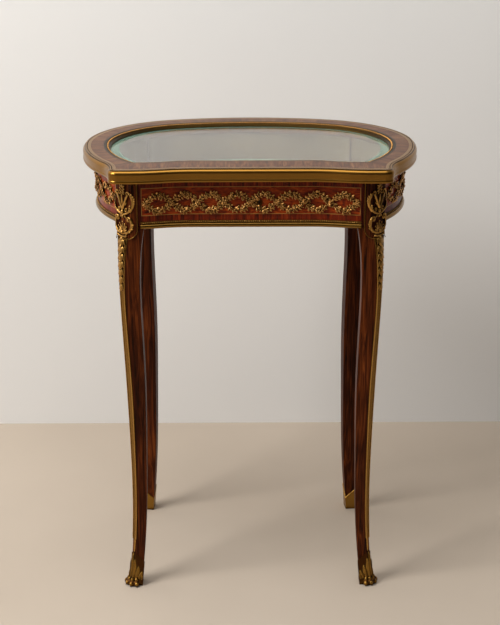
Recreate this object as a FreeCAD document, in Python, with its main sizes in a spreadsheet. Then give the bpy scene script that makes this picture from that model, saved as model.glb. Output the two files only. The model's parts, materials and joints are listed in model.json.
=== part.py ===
import FreeCAD, Part
import Sketcher
import math
import os

# A kidney-shaped collectors display table: four cabriole legs with bronze paw feet carry a
# shallow veneered case, and a hinged lid with a bevelled glass pane closes it.
# Millimetres. X runs to the right, Y to the back, Z up. The origin lies on the floor under the
# middle of the lid.

doc = FreeCAD.newDocument("display_table")

# ---------------------------------------------------------------- driving dimensions
# alias, value, what it is
SIZES = [
    ("table_height", 770.0, "floor to the top of the lid"),
    ("table_width", 582.0, "widest part of the lid's rim"),
    ("table_depth", 420.0, "front lobes to the middle of the back"),
    ("back_radius", 560.0, "flat arc across the back"),
    ("side_radius", 200.0, "rounded back corners"),
    ("flank_radius", 272.0, "long arc of each side towards the front"),
    ("sweep_radius", 86.3, "hollow of each side behind a front lobe"),
    ("corner_radius", 16.0, "round corner of a front lobe"),
    ("lobe_flat", 35.0, "a front lobe's outside to where its flat front ends"),
    ("swell_run", 105.0, "from there to the straight middle of the front"),
    ("front_dip", 12.5, "how far the middle of the front lies back"),
    ("lid_height", 22.0, "thickness of the lid"),
    ("lid_gap", 0.3, "air between the shut lid and the case"),
    ("rim_width", 14.0, "brass rim, seen from above"),
    ("rim_shoulder", 7.5, "height of the rim's round upper shoulder"),
    ("rim_shoulder_width", 4.4, "that shoulder, seen from above"),
    ("rim_step", 1.3, "small step from the rim's flat top down to the shoulder"),
    ("rim_bead", 4.8, "height of the rim's lower bead"),
    ("rim_setback", 0.3, "bead to the shoulder above it"),
    ("rim_batter", 0.5, "how far the face between them leans in"),
    ("rim_groove", 1.5, "width of the groove cut in the rim's top"),
    ("rim_groove_depth", 0.9, "depth of that groove"),
    ("rim_groove_inset", 7.6, "rim's outside to that groove"),
    ("member_width", 36.0, "rim's outside to the opening, sides and back"),
    ("front_member_width", 56.0, "rim's outside to the opening, front"),
    ("opening_flat", 22.0, "the opening's corner to where its front edge goes flat"),
    ("ledge_width", 12.0, "rabbet that the glass lies on"),
    ("ledge_thickness", 10.0, "wood under the glass"),
    ("glass_thickness", 5.0, "pane in its middle"),
    ("glass_play", 1.0, "pane to the rabbet's wall"),
    ("bevel_width", 26.0, "ground bevel of the pane"),
    ("bevel_drop", 2.0, "how much thinner the pane is at its edge"),
    ("moulding_width", 12.0, "inner moulding over the pane's edge"),
    ("moulding_flat", 4.0, "its flat top"),
    ("moulding_fall", 6.0, "how far it slopes down to the pane"),
    ("moulding_play", 0.3, "moulding to the pane"),
    ("case_setback", 24.0, "lid's outside to the case's face"),
    ("case_height", 80.0, "rails of the case"),
    ("rail_thickness", 16.0, "rails of the case"),
    ("board_thickness", 8.0, "bottom board"),
    ("board_rise", 10.0, "rails' lower edge to the bottom board"),
    ("glue_block_width", 12.0, "glue blocks under the bottom board"),
    ("glue_block_length", 34.0, "glue blocks under the bottom board"),
    ("fit", 0.2, "play of the pieces that lie in the case"),
    ("pad_thickness", 6.0, "velvet display pad"),
    ("pad_play", 3.0, "pad's edge to the rails"),
    ("lining_thickness", 2.0, "velvet on the walls"),
    ("lining_top", 2.0, "rails' upper edge to the lining's"),
    ("base_moulding_height", 8.0, "half-round at the foot of the case"),
    ("base_moulding_proud", 5.0, "how far it stands out"),
    ("base_moulding_drop", 2.0, "how far it reaches under the rails"),
    ("pearl_height", 3.6, "fillet with the pearl row above the half-round"),
    ("pearl_proud", 1.0, "how far that fillet stands out"),
    ("rebate_width", 4.0, "shadow gap between the front rail and a leg's block"),
    ("rebate_depth", 4.0, "depth of that gap"),
    ("leg_inset", 11.3, "a front lobe's outside to the leg's outer face"),
    ("leg_front", 20.0, "front lobes to a front leg's front face"),
    ("back_leg_angle", 51.0, "bearing of a back leg from the rounded corner's centre"),
    ("back_leg_overhang", 19.5, "lid's outside to a back leg's canted corner"),
    ("block_width", 37.0, "square block at the top of a leg"),
    ("block_cant", 26.0, "canted outer corner of that block"),
    ("block_length", 99.0, "how far the block reaches down from the lid"),
    ("block_step", 1.5, "how far the block stands out over its round shoulder"),
    ("shoulder_radius", 18.0, "round lower corner of the block"),
    ("foot_height", 5.0, "leg's foot section above the floor"),
    ("foot_inset", 7.8, "block's outer faces to the leg's there"),
    ("foot_width", 20.0, "leg's width there"),
    ("foot_arris", 5.0, "canted arris there"),
    ("cuff_height", 60.0, "cuff section above the floor"),
    ("cuff_inset", 11.3, "the same four sizes of each section, up to the head"),
    ("cuff_width", 22.0, ""),
    ("cuff_arris", 7.0, ""),
    ("ankle_height", 150.0, "ankle section above the floor"),
    ("ankle_inset", 14.9, ""),
    ("ankle_width", 23.8, ""),
    ("ankle_arris", 7.5, ""),
    ("calf_drop", 379.0, "calf section below the block"),
    ("calf_inset", 13.8, ""),
    ("calf_width", 27.3, ""),
    ("calf_arris", 8.5, ""),
    ("shin_drop", 205.0, "shin section below the block"),
    ("shin_inset", 7.6, ""),
    ("shin_width", 32.7, ""),
    ("shin_arris", 9.5, ""),
    ("knee_drop", 49.0, "knee section below the block"),
    ("knee_inset", 2.2, ""),
    ("knee_width", 36.0, ""),
    ("knee_arris", 11.5, ""),
    ("head_rise", 18.0, "head section above the block's lower end, inside the block"),
    ("head_inset", 1.8, ""),
    ("head_width", 44.5, ""),
    ("head_arris", 21.5, ""),
    ("filet_gap", 28.0, "sabot's cuff to the lower end of the brass filet"),
    ("filet_thickness", 1.5, "brass filet on a leg's arris"),
    ("filet_margin", 0.6, "bare wood each side of the filet"),
    ("filet_bedding", 1.0, "how deep the filet's section reaches into the arris"),
    ("cuff_rise", 2.0, "leg's cuff station to the top of the sabot"),
    ("sabot_wall", 1.3, "bronze round the leg"),
    ("sabot_heel", 17.0, "height of the sabot at the leg's inner corner"),
    ("paw_height", 30.0, "where the paw begins to stand out from the leg"),
    ("paw_spread", 3.6, "how much further the paw stands out over the toes"),
    ("paw_tuck", 1.5, "how far the sole draws in"),
    ("toe_radius", 6.0, "each toe"),
    ("toe_reach", 12.5, "middle of the paw to a toe's centre"),
    ("toe_step", 34.0, "bearing from one toe to the next"),
    ("toe_count", 4.0, "toes of a paw"),
    ("chute_top", 6.0, "lid's underside to the top of the chute"),
    ("chute_bottom", 1.0, "block's lower end to the foot of the chute"),
    ("chute_relief", 3.5, "how far the chute stands out over the canted corner"),
    ("chute_side_relief", 1.2, "the same over the block's two outer faces"),
    ("collar_half_width", 8.5, "foot of the chute"),
    ("cartouche_half_width", 18.5, "round lower lobe of the chute"),
    ("waist_half_width", 6.5, "waists of the chute"),
    ("shield_half_width", 19.2, "widest part of the chute"),
    ("sprig_radius", 8.0, "sprig at the top of the chute"),
    ("husk_count", 7.0, "bellflowers under a chute"),
    ("husk_length", 13.2, "each bellflower"),
    ("husk_radius", 5.6, "first bellflower at its mouth"),
    ("husk_taper", 0.5, "how much smaller each next one is"),
    ("loop_pitch", 44.0, "one loop of the garlands to the next"),
    ("loop_height", 42.0, "garland loop, outside"),
    ("loop_band", 7.0, "width of a garland's band"),
    ("loop_overlap", 2.0, "how far a loop reaches past its pitch"),
    ("garland_relief", 4.0, "how far a garland stands out"),
    ("garland_centre", 39.0, "rails' upper edge to the garlands' middle"),
    ("garland_margin", 10.0, "least distance of a garland from the legs"),
    ("back_garland_margin", 30.0, "the same at the back"),
    ("hinge_spacing", 60.0, "middle to a hinge's middle"),
    ("hinge_length", 36.0, "each butt hinge"),
    ("hinge_offset", 6.5, "case's back to the hinge pin"),
    ("hinge_reach", 22.0, "hinge pin to a leaf's front edge"),
    ("hinge_leaf", 1.8, "thickness of the brass leaves"),
    ("knuckle_radius", 3.2, "outside of the knuckles"),
    ("knuckle_share", 12.0, "length of each of the three knuckles"),
    ("knuckle_gap", 0.3, "knuckle to knuckle"),
    ("pin_radius", 1.6, "hinge pin"),
    ("pin_clearance", 0.05, "radial play of the pin in the lid's knuckle"),
    ("groove_play", 0.7, "knuckle to the groove in the lid"),
    ("screw_head_radius", 2.9, "countersunk brass screws"),
    ("screw_radius", 1.5, "their shank"),
    ("screw_length", 11.0, "their whole length"),
    ("screw_spacing", 20.0, "two screws of a leaf"),
    ("screw_reach", 16.0, "hinge pin to the screws"),
    ("lock_centre", 14.0, "middle of the table to the keyhole"),
    ("lock_width", 46.0, "lock case"),
    ("lock_depth", 8.0, "lock case"),
    ("lock_height", 52.0, "lock case"),
    ("bolt_width", 14.0, "lock bolt"),
    ("bolt_thickness", 4.0, "lock bolt"),
    ("bolt_length", 20.0, "lock bolt"),
    ("bolt_travel", 6.0, "how far the bolt rises"),
    ("bolt_sink", 0.2, "bolt's end below the lock case's"),
    ("bolt_play", 0.1, "bolt to its channel, each side"),
    ("strike_width", 34.0, "strike plate in the lid"),
    ("strike_depth", 11.0, "strike plate"),
    ("strike_thickness", 1.2, "strike plate"),
    ("strike_play", 0.8, "bolt to the strike's slot, each side"),
    ("mortise_depth", 9.0, "mortise over the bolt"),
    ("keyhole_height", 39.0, "rails' upper edge to the keyhole"),
    ("keyhole_radius", 2.0, "round part of the keyhole"),
    ("keyhole_slot", 5.0, "length of its slot"),
    ("escutcheon_radius", 5.5, "plate round the keyhole"),
    ("escutcheon_thickness", 1.0, "that plate"),
]

# the leg's sections, from the floor up; each has its inset from the block's outer faces, its
# width and the width of its canted arris
FROM_FLOOR = ["foot", "cuff", "ankle"]
UNDER_BLOCK = ["calf", "shin", "knee"]
STATIONS = FROM_FLOOR + UNDER_BLOCK + ["head"]

sheet = doc.addObject("Spreadsheet::Sheet", "Sizes")


def enter(row, alias, number, note):
    sheet.set("A%d" % row, alias.replace("_", " "))
    sheet.set("B%d" % row, str(number))
    sheet.setAlias("B%d" % row, alias)
    sheet.set("C%d" % row, note)


for row, (alias, number, note) in enumerate(SIZES, 1):
    enter(row, alias, number, note)
doc.recompute()


def size(alias):
    return float(sheet.get(alias))


def rule(text):
    """Expression in which every name is a size of the sheet."""
    words = text.split(" ")
    return " ".join("Sizes." + word if word[0].isalpha() else word for word in words)


# ---------------------------------------------------------------- places that follow from them
Vector = FreeCAD.Vector
Rotation = FreeCAD.Rotation
Placement = FreeCAD.Placement
UP = Vector(0, 0, 1)
QUARTER = math.pi / 2

LID_BOTTOM = "table_height - lid_height"
CASE_TOP = LID_BOTTOM + " - lid_gap"
CASE_BOTTOM = CASE_TOP + " - case_height"
BOARD_BOTTOM = CASE_BOTTOM + " + board_rise"
BOARD_TOP = BOARD_BOTTOM + " + board_thickness"
LEDGE_TOP = LID_BOTTOM + " + ledge_thickness"
GLASS_EDGE_TOP = LEDGE_TOP + " + glass_thickness - bevel_drop"
BLOCK_BOTTOM = LID_BOTTOM + " - block_length"

half_width = size("table_width") / 2
half_depth = size("table_depth") / 2
lid_bottom = size("table_height") - size("lid_height")
case_top = lid_bottom - size("lid_gap")
case_bottom = case_top - size("case_height")
block_bottom = lid_bottom - size("block_length")
garland_z = case_top - size("garland_centre")

# the kidney's arcs are tangent to each other, so their centres and turns follow from the radii;
# y values of the outline count from the face of the front lobes
side_x = half_width - size("side_radius")
back_turn = math.asin(side_x / (size("back_radius") - size("side_radius")))
back_y = size("table_depth") - size("back_radius")
wide_y = back_y + (size("back_radius") - size("side_radius")) * math.cos(back_turn)
flank_x = half_width - size("flank_radius")
sweep_radius = size("sweep_radius")
both_radii = size("flank_radius") + sweep_radius
sweep_turn = math.asin((wide_y - size("corner_radius")) / both_radii)
sweep_x = flank_x + both_radii * math.cos(sweep_turn)
lobe_x = sweep_x - sweep_radius
lobe_start = lobe_x - size("lobe_flat")
swell_start = lobe_start - size("swell_run")
opening_corner_radius = size("flank_radius") - size("member_width")
opening_drop = wide_y - size("front_member_width")
opening_corner = (flank_x + math.sqrt(opening_corner_radius ** 2 - opening_drop ** 2),
                  size("front_member_width"))


# ---------------------------------------------------------------- plan outlines
# a piece of an outline is ("arc", centre x, centre y, radius, first bearing, last bearing) or
# ("line", x, y, x, y)
def arc(x, y, radius, first, last):
    return ("arc", x, y, radius, first, last)


def line(x0, y0, x1, y1):
    return ("line", x0, y0, x1, y1)


def mirrored(pieces):
    """The same pieces on the left, in reverse order."""
    result = []
    for piece in reversed(pieces):
        if piece[0] == "arc":
            kind, x, y, radius, first, last = piece
            result.append(arc(-x, y, radius, math.pi - last, math.pi - first))
        else:
            kind, x0, y0, x1, y1 = piece
            result.append(line(-x1, y1, -x0, y0))
    return result


def serpentine(reach, base, inset, end):
    """Right half of the front: from its straight middle through an S to a flat lobe."""
    start = swell_start
    dip = size("front_dip")
    turn = 2 * math.atan(dip / (reach - start))
    radius = (reach - start) / 2 / math.sin(turn)
    hollow = arc(start, base + dip - radius, radius + inset, QUARTER - turn, QUARTER)
    swell = arc(reach, base + radius, radius - inset, -QUARTER - turn, -QUARTER)
    return [hollow, swell, line(reach, base + inset, end, base + inset)]


def middle(base, inset):
    start = swell_start
    level = base + size("front_dip") + inset
    return line(-start, level, start, level)


def rounded_back(inset):
    return arc(side_x, wide_y, size("side_radius") - inset, 0, QUARTER - back_turn)


def back_arc(inset):
    radius = size("back_radius") - inset
    return arc(0, back_y, radius, QUARTER - back_turn, QUARTER + back_turn)


def front_right(inset):
    """Right half of the lid's front, at a distance inside the lid's outside."""
    corner = size("corner_radius")
    start = lobe_start
    if inset < corner:
        end = lobe_x - corner
        rounding = arc(end, corner, corner - inset, -QUARTER, 0)
        return serpentine(start, 0, inset, end) + [rounding]
    rise = math.asin((inset - corner) / (sweep_radius + inset))
    end = sweep_x - (sweep_radius + inset) * math.cos(rise)
    return serpentine(start, 0, inset, end)


def side_right(inset):
    """Right side: hollow sweep behind the lobe, long flank, rounded back corner."""
    corner = size("corner_radius")
    rise = 0.0
    if inset > corner:
        rise = math.asin((inset - corner) / (sweep_radius + inset))
    sweep = arc(sweep_x, corner, sweep_radius + inset, math.pi - sweep_turn, math.pi - rise)
    flank = arc(flank_x, wide_y, size("flank_radius") - inset, -sweep_turn, 0)
    return [sweep, flank, rounded_back(inset)]


def table_outline(inset):
    """The whole kidney, at a distance inside the lid's outside."""
    right = front_right(inset) + side_right(inset)
    return [middle(0, inset)] + right + [back_arc(inset)] + mirrored(right)


def opening_outline(inset):
    """The lid's opening: its flanks run on to sharp front corners."""
    base = size("front_member_width")
    side_inset = size("member_width") + inset
    radius = size("flank_radius") - side_inset
    turn = math.asin((wide_y - base - inset) / radius)
    reach = opening_corner[0] - size("opening_flat")
    right = serpentine(reach, base, inset, flank_x + radius * math.cos(turn))
    right.append(arc(flank_x, wide_y, radius, -turn, 0))
    right.append(rounded_back(side_inset))
    return [middle(base, inset)] + right + [back_arc(side_inset)] + mirrored(right)


def curve(piece):
    if piece[0] == "arc":
        kind, x, y, radius, first, last = piece
        return Part.ArcOfCircle(Part.Circle(Vector(x, y - half_depth, 0), UP, radius), first, last)
    kind, x0, y0, x1, y1 = piece
    return Part.LineSegment(Vector(x0, y0 - half_depth, 0), Vector(x1, y1 - half_depth, 0))


def outline(pieces):
    return [curve(piece) for piece in pieces]


def polygon(points):
    """Closed outline through x, y pairs."""
    corners = [Vector(x, y, 0) for x, y in points]
    return [Part.LineSegment(a, b) for a, b in zip(corners, corners[1:] + corners[:1])]


def plan_polygon(points):
    """The same, with y counted from the face of the front lobes."""
    return polygon([(x, y - half_depth) for x, y in points])


# ---------------------------------------------------------------- document helpers
def new_body(label):
    body = doc.addObject("PartDesign::Body", label)
    body.Label = label
    return body


def origin_plane(body, role):
    for feature in body.Origin.OriginFeatures:
        if feature.Role == role:
            return feature


def join_ends(sketch, base):
    """Coincident constraints wherever one curve ends at another."""
    ends = []
    for index in range(base, sketch.GeometryCount):
        for end in (1, 2):
            ends.append((index, end, sketch.getPoint(index, end)))
    for number, first in enumerate(ends):
        for second in ends[number + 1:]:
            if first[0] != second[0] and first[2].distanceToPoint(second[2]) < 1e-6:
                ids = first[:2] + second[:2]
                sketch.addConstraint(Sketcher.Constraint("Coincident", *ids))


def add_sketch(body, name, role, offset, *outlines):
    """A sketch on one of the body's own planes, lifted by the expression offset."""
    sketch = body.newObject("Sketcher::SketchObject", name)
    sketch.AttachmentSupport = [(origin_plane(body, role), "")]
    sketch.MapMode = "FlatFace"
    sketch.setExpression("AttachmentOffset.Base.z", rule(offset))
    for curves in outlines:
        base = sketch.GeometryCount
        sketch.addGeometry(curves, False)
        if len(curves) > 1:
            join_ends(sketch, base)
    return sketch


def pad(body, name, sketch, length, reversed_way=False):
    feature = body.newObject("PartDesign::Pad", name)
    feature.Profile = sketch
    feature.setExpression("Length", rule(length))
    feature.Reversed = reversed_way
    return feature


def plan_body(label, bottom, height, *outlines):
    """A body padded up from an outline in plan, with further outlines as holes."""
    body = new_body(label)
    sketch = add_sketch(body, label + "_plan", "XY_Plane", bottom, *outlines)
    pad(body, label + "_pad", sketch, height)
    return body


def ruled_loft(body, kind, name, sketches):
    feature = body.newObject("PartDesign::" + kind, name)
    feature.Profile = sketches[0]
    feature.Sections = sketches[1:]
    feature.Ruled = True
    return feature


def sweep(label, role, offset, spine_pieces, profile):
    """A moulding drawn once across and swept along its run."""
    body = new_body(label)
    spine = add_sketch(body, label + "_run", "XY_Plane", "0", outline(spine_pieces))
    across = add_sketch(body, label + "_profile", role, offset, profile)
    pipe = body.newObject("PartDesign::AdditivePipe", label + "_sweep")
    pipe.Profile = across
    pipe.Spine = (spine, [])
    return body


def cut(label, base, tool):
    result = doc.addObject("Part::Cut", label)
    result.Label = label
    result.Base = base
    result.Tool = tool
    return result


def common(label, base, tool):
    result = doc.addObject("Part::Common", label)
    result.Label = label
    result.Base = base
    result.Tool = tool
    return result


def fuse(label, shapes):
    result = doc.addObject("Part::MultiFuse", label)
    result.Label = label
    result.Shapes = shapes
    return result


def box(label, lengths, corner, turn=0.0):
    """A box: its three sizes are expressions, its corner is a point."""
    result = doc.addObject("Part::Box", label)
    result.Label = label
    for side, text in zip(("Length", "Width", "Height"), lengths):
        result.setExpression(side, rule(text))
    result.Placement = Placement(Vector(*corner), Rotation(UP, turn))
    return result


def cylinder(label, radius, length, foot, direction=UP):
    result = doc.addObject("Part::Cylinder", label)
    result.Label = label
    result.setExpression("Radius", rule(radius))
    result.setExpression("Height", rule(length))
    result.Placement = Placement(Vector(*foot), Rotation(UP, direction))
    return result


parts = []


def keep(*pieces):
    """These objects are pieces of the table, each under its own label."""
    parts.extend(pieces)


# ---------------------------------------------------------------- legs
# each leg is drawn in its own frame: the block's outer corner is the origin and the leg lies
# towards +x and +y, so that its canted arris looks along the bearing 225 degrees
def leg_section(inset, width, cant):
    near, far = inset, inset + width
    edge = inset + cant
    return [(edge, near), (far, near), (far, far), (near, far), (near, edge)]


def station_rule(name):
    """Expression for a section's height above the floor."""
    if name in FROM_FLOOR:
        return name + "_height"
    if name in UNDER_BLOCK:
        return BLOCK_BOTTOM + " - " + name + "_drop"
    return BLOCK_BOTTOM + " + " + name + "_rise"


def station_height(name):
    if name in FROM_FLOOR:
        return size(name + "_height")
    if name in UNDER_BLOCK:
        return block_bottom - size(name + "_drop")
    return block_bottom + size(name + "_rise")


def leg_at(height):
    """Inset, width and arris of the leg between its sections."""
    lower = STATIONS[0]
    for upper in STATIONS[1:]:
        if height <= station_height(upper) or upper is STATIONS[-1]:
            break
        lower = upper
    low, high = station_height(lower), station_height(upper)
    share = (height - low) / (high - low)
    values = []
    for word in ("_inset", "_width", "_arris"):
        first, last = size(lower + word), size(upper + word)
        values.append(first + share * (last - first))
    return values


def leg_body(label):
    body = new_body(label)
    sections = []
    for name in STATIONS:
        corners = leg_section(size(name + "_inset"), size(name + "_width"), size(name + "_arris"))
        title = label + "_" + name
        sections.append(add_sketch(body, title, "XY_Plane", station_rule(name), polygon(corners)))
    shaft = body.newObject("PartDesign::AdditiveLoft", label + "_shaft")
    shaft.Profile = sections[0]
    shaft.Sections = sections[1:]
    corners = leg_section(0, size("block_width"), size("block_cant"))
    square = add_sketch(body, label + "_square", "XY_Plane", BLOCK_BOTTOM, polygon(corners))
    pad(body, label + "_block", square, "block_length - lid_gap")
    for role, other_way in (("XZ_Plane", False), ("YZ_Plane", True)):
        title = label + "_shoulder_" + role[:2].lower()
        shoulder = add_sketch(body, title, role, "0", shoulder_outline())
        pocket = body.newObject("PartDesign::Pocket", title + "_cut")
        pocket.Profile = shoulder
        pocket.setExpression("Length", rule("block_step"))
        pocket.Reversed = other_way
    return body


def shoulder_outline():
    """What the round lower corner of the block leaves out, seen square to a face."""
    edge = size("block_width")
    radius = size("shoulder_radius")
    low = block_bottom - 1
    level = block_bottom + radius
    middle_arc = Part.ArcOfCircle(Part.Circle(Vector(edge - radius, level, 0), UP, radius), -QUARTER, 0)
    points = [(edge, level), (edge + 1, level), (edge + 1, low), (edge - radius, low)]
    corners = [Vector(x, y, 0) for x, y in points] + [Vector(edge - radius, block_bottom, 0)]
    return [Part.LineSegment(a, b) for a, b in zip(corners, corners[1:])] + [middle_arc]


front_leg_x = lobe_x - size("leg_inset")
back_leg_distance = size("side_radius") - size("back_leg_overhang") + size("block_cant") / math.sqrt(2)
back_leg_bearing = math.radians(size("back_leg_angle"))
back_leg_x = side_x + back_leg_distance * math.cos(back_leg_bearing)
back_leg_y = wide_y + back_leg_distance * math.sin(back_leg_bearing)

# name, outer corner, bearing that the canted arris faces
LEGS = [
    ("front_left", -front_leg_x, size("leg_front"), 225.0),
    ("front_right", front_leg_x, size("leg_front"), 315.0),
    ("back_right", back_leg_x, back_leg_y, size("back_leg_angle")),
    ("back_left", -back_leg_x, back_leg_y, 180.0 - size("back_leg_angle")),
]


def leg_place(x, y, bearing):
    return Placement(Vector(x, y - half_depth, 0), Rotation(UP, bearing - 225.0))


legs = []
for name, x, y, bearing in LEGS:
    leg = leg_body(name + "_leg")
    leg.Placement = leg_place(x, y, bearing)
    legs.append(leg)
keep(*legs)
all_legs = fuse("all_legs", legs)
leg_form = leg_body("leg_form")


def arris_strip(label, heights, outward, inward, margins):
    """A strip on the canted arris, lofted through sections at the given heights."""
    body = new_body(label)
    sections = []
    for number, (height, expression) in enumerate(heights):
        inset, width, arris = leg_at(height)
        out, into = outward / math.sqrt(2), inward / math.sqrt(2)
        bare = margins[number] / math.sqrt(2)
        near, far = inset + bare, inset + arris - bare
        points = [(far - out, near - out), (far + into, near + into), (near + into, far + into)]
        points.append((near - out, far - out))
        title = label + "_%d" % number
        sections.append(add_sketch(body, title, "XY_Plane", expression, polygon(points)))
    loft = body.newObject("PartDesign::AdditiveLoft", label + "_loft")
    loft.Profile = sections[0]
    loft.Sections = sections[1:]
    return body


# brass filet: lofted through the leg's own stations so that it follows the arris, then cut to
# length
station_heights = [(station_height(name), station_rule(name)) for name in STATIONS]
margins = [size("filet_margin")] * len(STATIONS)
thickness, bedding = size("filet_thickness"), size("filet_bedding")
filet_long = arris_strip("filet_long", station_heights, thickness, bedding, margins)
filet_foot = size("cuff_height") + size("filet_gap")
FILET_LENGTH = BLOCK_BOTTOM + " + chute_bottom - cuff_height - filet_gap"
filet_span = box("filet_span", ("block_width", "block_width", FILET_LENGTH), (-10, -10, filet_foot))
filet_form = common("filet_form", filet_long, filet_span)
dressed_leg = fuse("dressed_leg", [leg_form, filet_form])

# sabot: a shoe that follows the leg and spreads into a paw, with round toes; its top slopes from
# the heel at the leg's inner corner up to a leaf tip on the arris
cuff_top = size("cuff_height") + size("cuff_rise")
paw = new_body("paw")
paw_sections = []
wall = size("sabot_wall")
PAW_TOP = "cuff_height + cuff_rise"
spread, tuck = size("paw_spread"), size("paw_tuck")
PAW_SECTIONS = [
    (0.0, "0", spread - tuck),
    (size("toe_radius"), "toe_radius", spread),
    (size("paw_height"), "paw_height", 0.0),
    (cuff_top, PAW_TOP, 0.0),
]
for number, (height, expression, outward) in enumerate(PAW_SECTIONS):
    inset, width, arris = leg_at(max(height, size("foot_height")))
    near = inset - wall - outward
    far = inset + width + wall
    section = polygon(leg_section(near, far - near, arris + outward / 3))
    paw_sections.append(add_sketch(paw, "paw_%d" % number, "XY_Plane", expression, section))
ruled_loft(paw, "AdditiveLoft", "paw_loft", paw_sections)

inset, width, arris = leg_at(size("foot_height"))
paw_middle = inset + width * 0.4
toes = []
for number in range(int(size("toe_count"))):
    step = number - (size("toe_count") - 1) / 2
    bearing = math.radians(225.0 + step * size("toe_step"))
    toe = doc.addObject("Part::Sphere", "toe_%d" % number)
    toe.setExpression("Radius", rule("toe_radius"))
    x = paw_middle + size("toe_reach") * math.cos(bearing)
    y = paw_middle + size("toe_reach") * math.sin(bearing)
    toe.Placement.Base = Vector(x, y, size("toe_radius") * 0.85)
    toes.append(toe)
under_floor = box("under_floor", ("block_width * 2", "block_width * 2", "toe_radius"),
                  (-size("block_width"), -size("block_width"), -size("toe_radius")))
inset, width, arris = leg_at(cuff_top)
tip = (inset - wall + arris / 2) * math.sqrt(2)
heel = (inset + width + wall) * math.sqrt(2)
over_heel = new_body("over_heel")
slope_points = [(tip, cuff_top), (heel, size("sabot_heel")), (heel * 2, size("sabot_heel")),
                (heel * 2, cuff_top * 2), (tip, cuff_top * 2)]
slope = add_sketch(over_heel, "heel_slope", "XZ_Plane", "block_width", polygon(slope_points))
pad(over_heel, "heel_wedge", slope, "block_width * 2", True)
over_heel.Placement = Placement(Vector(0, 0, 0), Rotation(UP, 45.0))
paw_round = fuse("paw_round", [paw] + toes)
paw_form = cut("paw_form", paw_round, fuse("paw_waste", [under_floor, over_heel]))

# husk drop: bellflowers that grow smaller down the arris
husk_top = block_bottom + size("chute_bottom")
husks = []
for number in range(int(size("husk_count"))):
    top = husk_top - number * size("husk_length")
    foot = top - size("husk_length")
    inset, width, arris = leg_at(foot)
    mouth = size("husk_radius") - number * size("husk_taper")
    seat = inset + arris / 2 - (size("filet_thickness") + mouth / 4) / math.sqrt(2)
    husk = doc.addObject("Part::Cone", "husk_%d" % number)
    husk.Radius1 = mouth
    husk.Radius2 = mouth * 0.6
    husk.setExpression("Height", rule("husk_length"))
    husk.Placement.Base = Vector(seat, seat, foot)
    husks.append(husk)
husk_form = fuse("husk_form", husks)

# chute: the bronze mount over the block's canted corner, its outline seen along the diagonal
chute_form = new_body("chute_form")
chute_height = size("block_length") - size("chute_top") - size("chute_bottom")


def chute_outline():
    collar, lobe, waist = size("collar_half_width"), size("cartouche_half_width"), size("waist_half_width")
    shield, sprig = size("shield_half_width"), size("sprig_radius")
    # start, point on the way, end of each arc: half width and share of the height
    runs = [
        ((waist, 0.05), (lobe, 0.20), (waist, 0.36)),
        ((waist, 0.36), (shield * 0.85, 0.50), (shield, 0.66)),
        ((shield, 0.66), (shield * 0.92, 0.78), (waist, 0.84)),
        ((waist, 0.84), (sprig, 0.92), (waist * 0.2, 1.0)),
    ]
    base = husk_top
    curves = []
    for side in (1, -1):
        for run in runs:
            points = [Vector(side * x, base + share * chute_height, 0) for x, share in run]
            curves.append(Part.Arc(*points))
        foot = Vector(side * collar, base, 0)
        neck = Vector(side * waist, base + 0.05 * chute_height, 0)
        curves.append(Part.LineSegment(foot, neck))
    top = base + chute_height
    curves.append(Part.LineSegment(Vector(-collar, base, 0), Vector(collar, base, 0)))
    curves.append(Part.LineSegment(Vector(-waist * 0.2, top, 0), Vector(waist * 0.2, top, 0)))
    return curves


chute_sketch = add_sketch(chute_form, "chute_sketch", "XZ_Plane", "chute_relief * 4", chute_outline())
pad(chute_form, "chute_prism", chute_sketch, "chute_relief * 4 + block_width", True)
chute_form.Placement = Placement(Vector(0, 0, 0), Rotation(UP, -45.0))
side_relief = size("chute_side_relief")
grown_cant = size("block_cant") + 2 * side_relief - size("chute_relief") * math.sqrt(2)
grown = leg_section(-side_relief, size("block_width") + side_relief, grown_cant)
chute_skin = plan_body("chute_skin", BLOCK_BOTTOM, "block_length - lid_gap", polygon(grown))
chute_solid = common("chute_solid", chute_form, chute_skin)

# rails and mouldings end at a leg's block and leave its canted corner and the chute free
chute_rooms = []
corner_rooms = []
for (name, x, y, bearing), leg in zip(LEGS, legs):
    room = plan_body(name + "_chute_room", BLOCK_BOTTOM, "block_length - lid_gap", polygon(grown))
    corner = box(name + "_corner_room", ("block_width", "block_width", "table_height * 2"), (0, 0, 0))
    room.Placement = leg_place(x, y, bearing)
    corner.Placement = room.Placement
    chute_rooms.append(room)
    corner_rooms.append(corner)
    for title, form, tool in (
        ("filet", filet_form, leg_form),
        ("sabot", paw_form, leg_form),
        ("husk_drop", husk_form, dressed_leg),
        ("chute", chute_solid, dressed_leg),
    ):
        mount = cut(name + "_" + title, form, tool)
        mount.Placement = leg_place(x, y, bearing)
        keep(mount)
legs_and_chutes = fuse("legs_and_chutes", legs + chute_rooms + corner_rooms)

# ---------------------------------------------------------------- lines that part the rings
block_half = size("block_width") / 2
front_leg_middle = (front_leg_x - block_half, size("leg_front") + block_half)
middle_distance = back_leg_distance - block_half * math.sqrt(2)
back_leg_middle = (side_x + middle_distance * math.cos(back_leg_bearing),
                   wide_y + middle_distance * math.sin(back_leg_bearing))


def ray(start, bearing, distance):
    return (start[0] + distance * math.cos(bearing), start[1] + distance * math.sin(bearing))


def flipped(points):
    return [(-x, y) for x, y in points]


def sector(label, points):
    return plan_body(label, "0", "table_height * 2", plan_polygon(points))


far = half_width + half_depth
behind = ray(back_leg_middle, back_leg_bearing, far)
inside = (side_x, wide_y)
fx, fy = front_leg_middle


def side_sector_points(front_x, front_y):
    """Between a front leg and a back leg."""
    return [(front_x, front_y), (far * 2, front_y), (far * 2, behind[1]), behind, back_leg_middle,
            inside]


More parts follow.
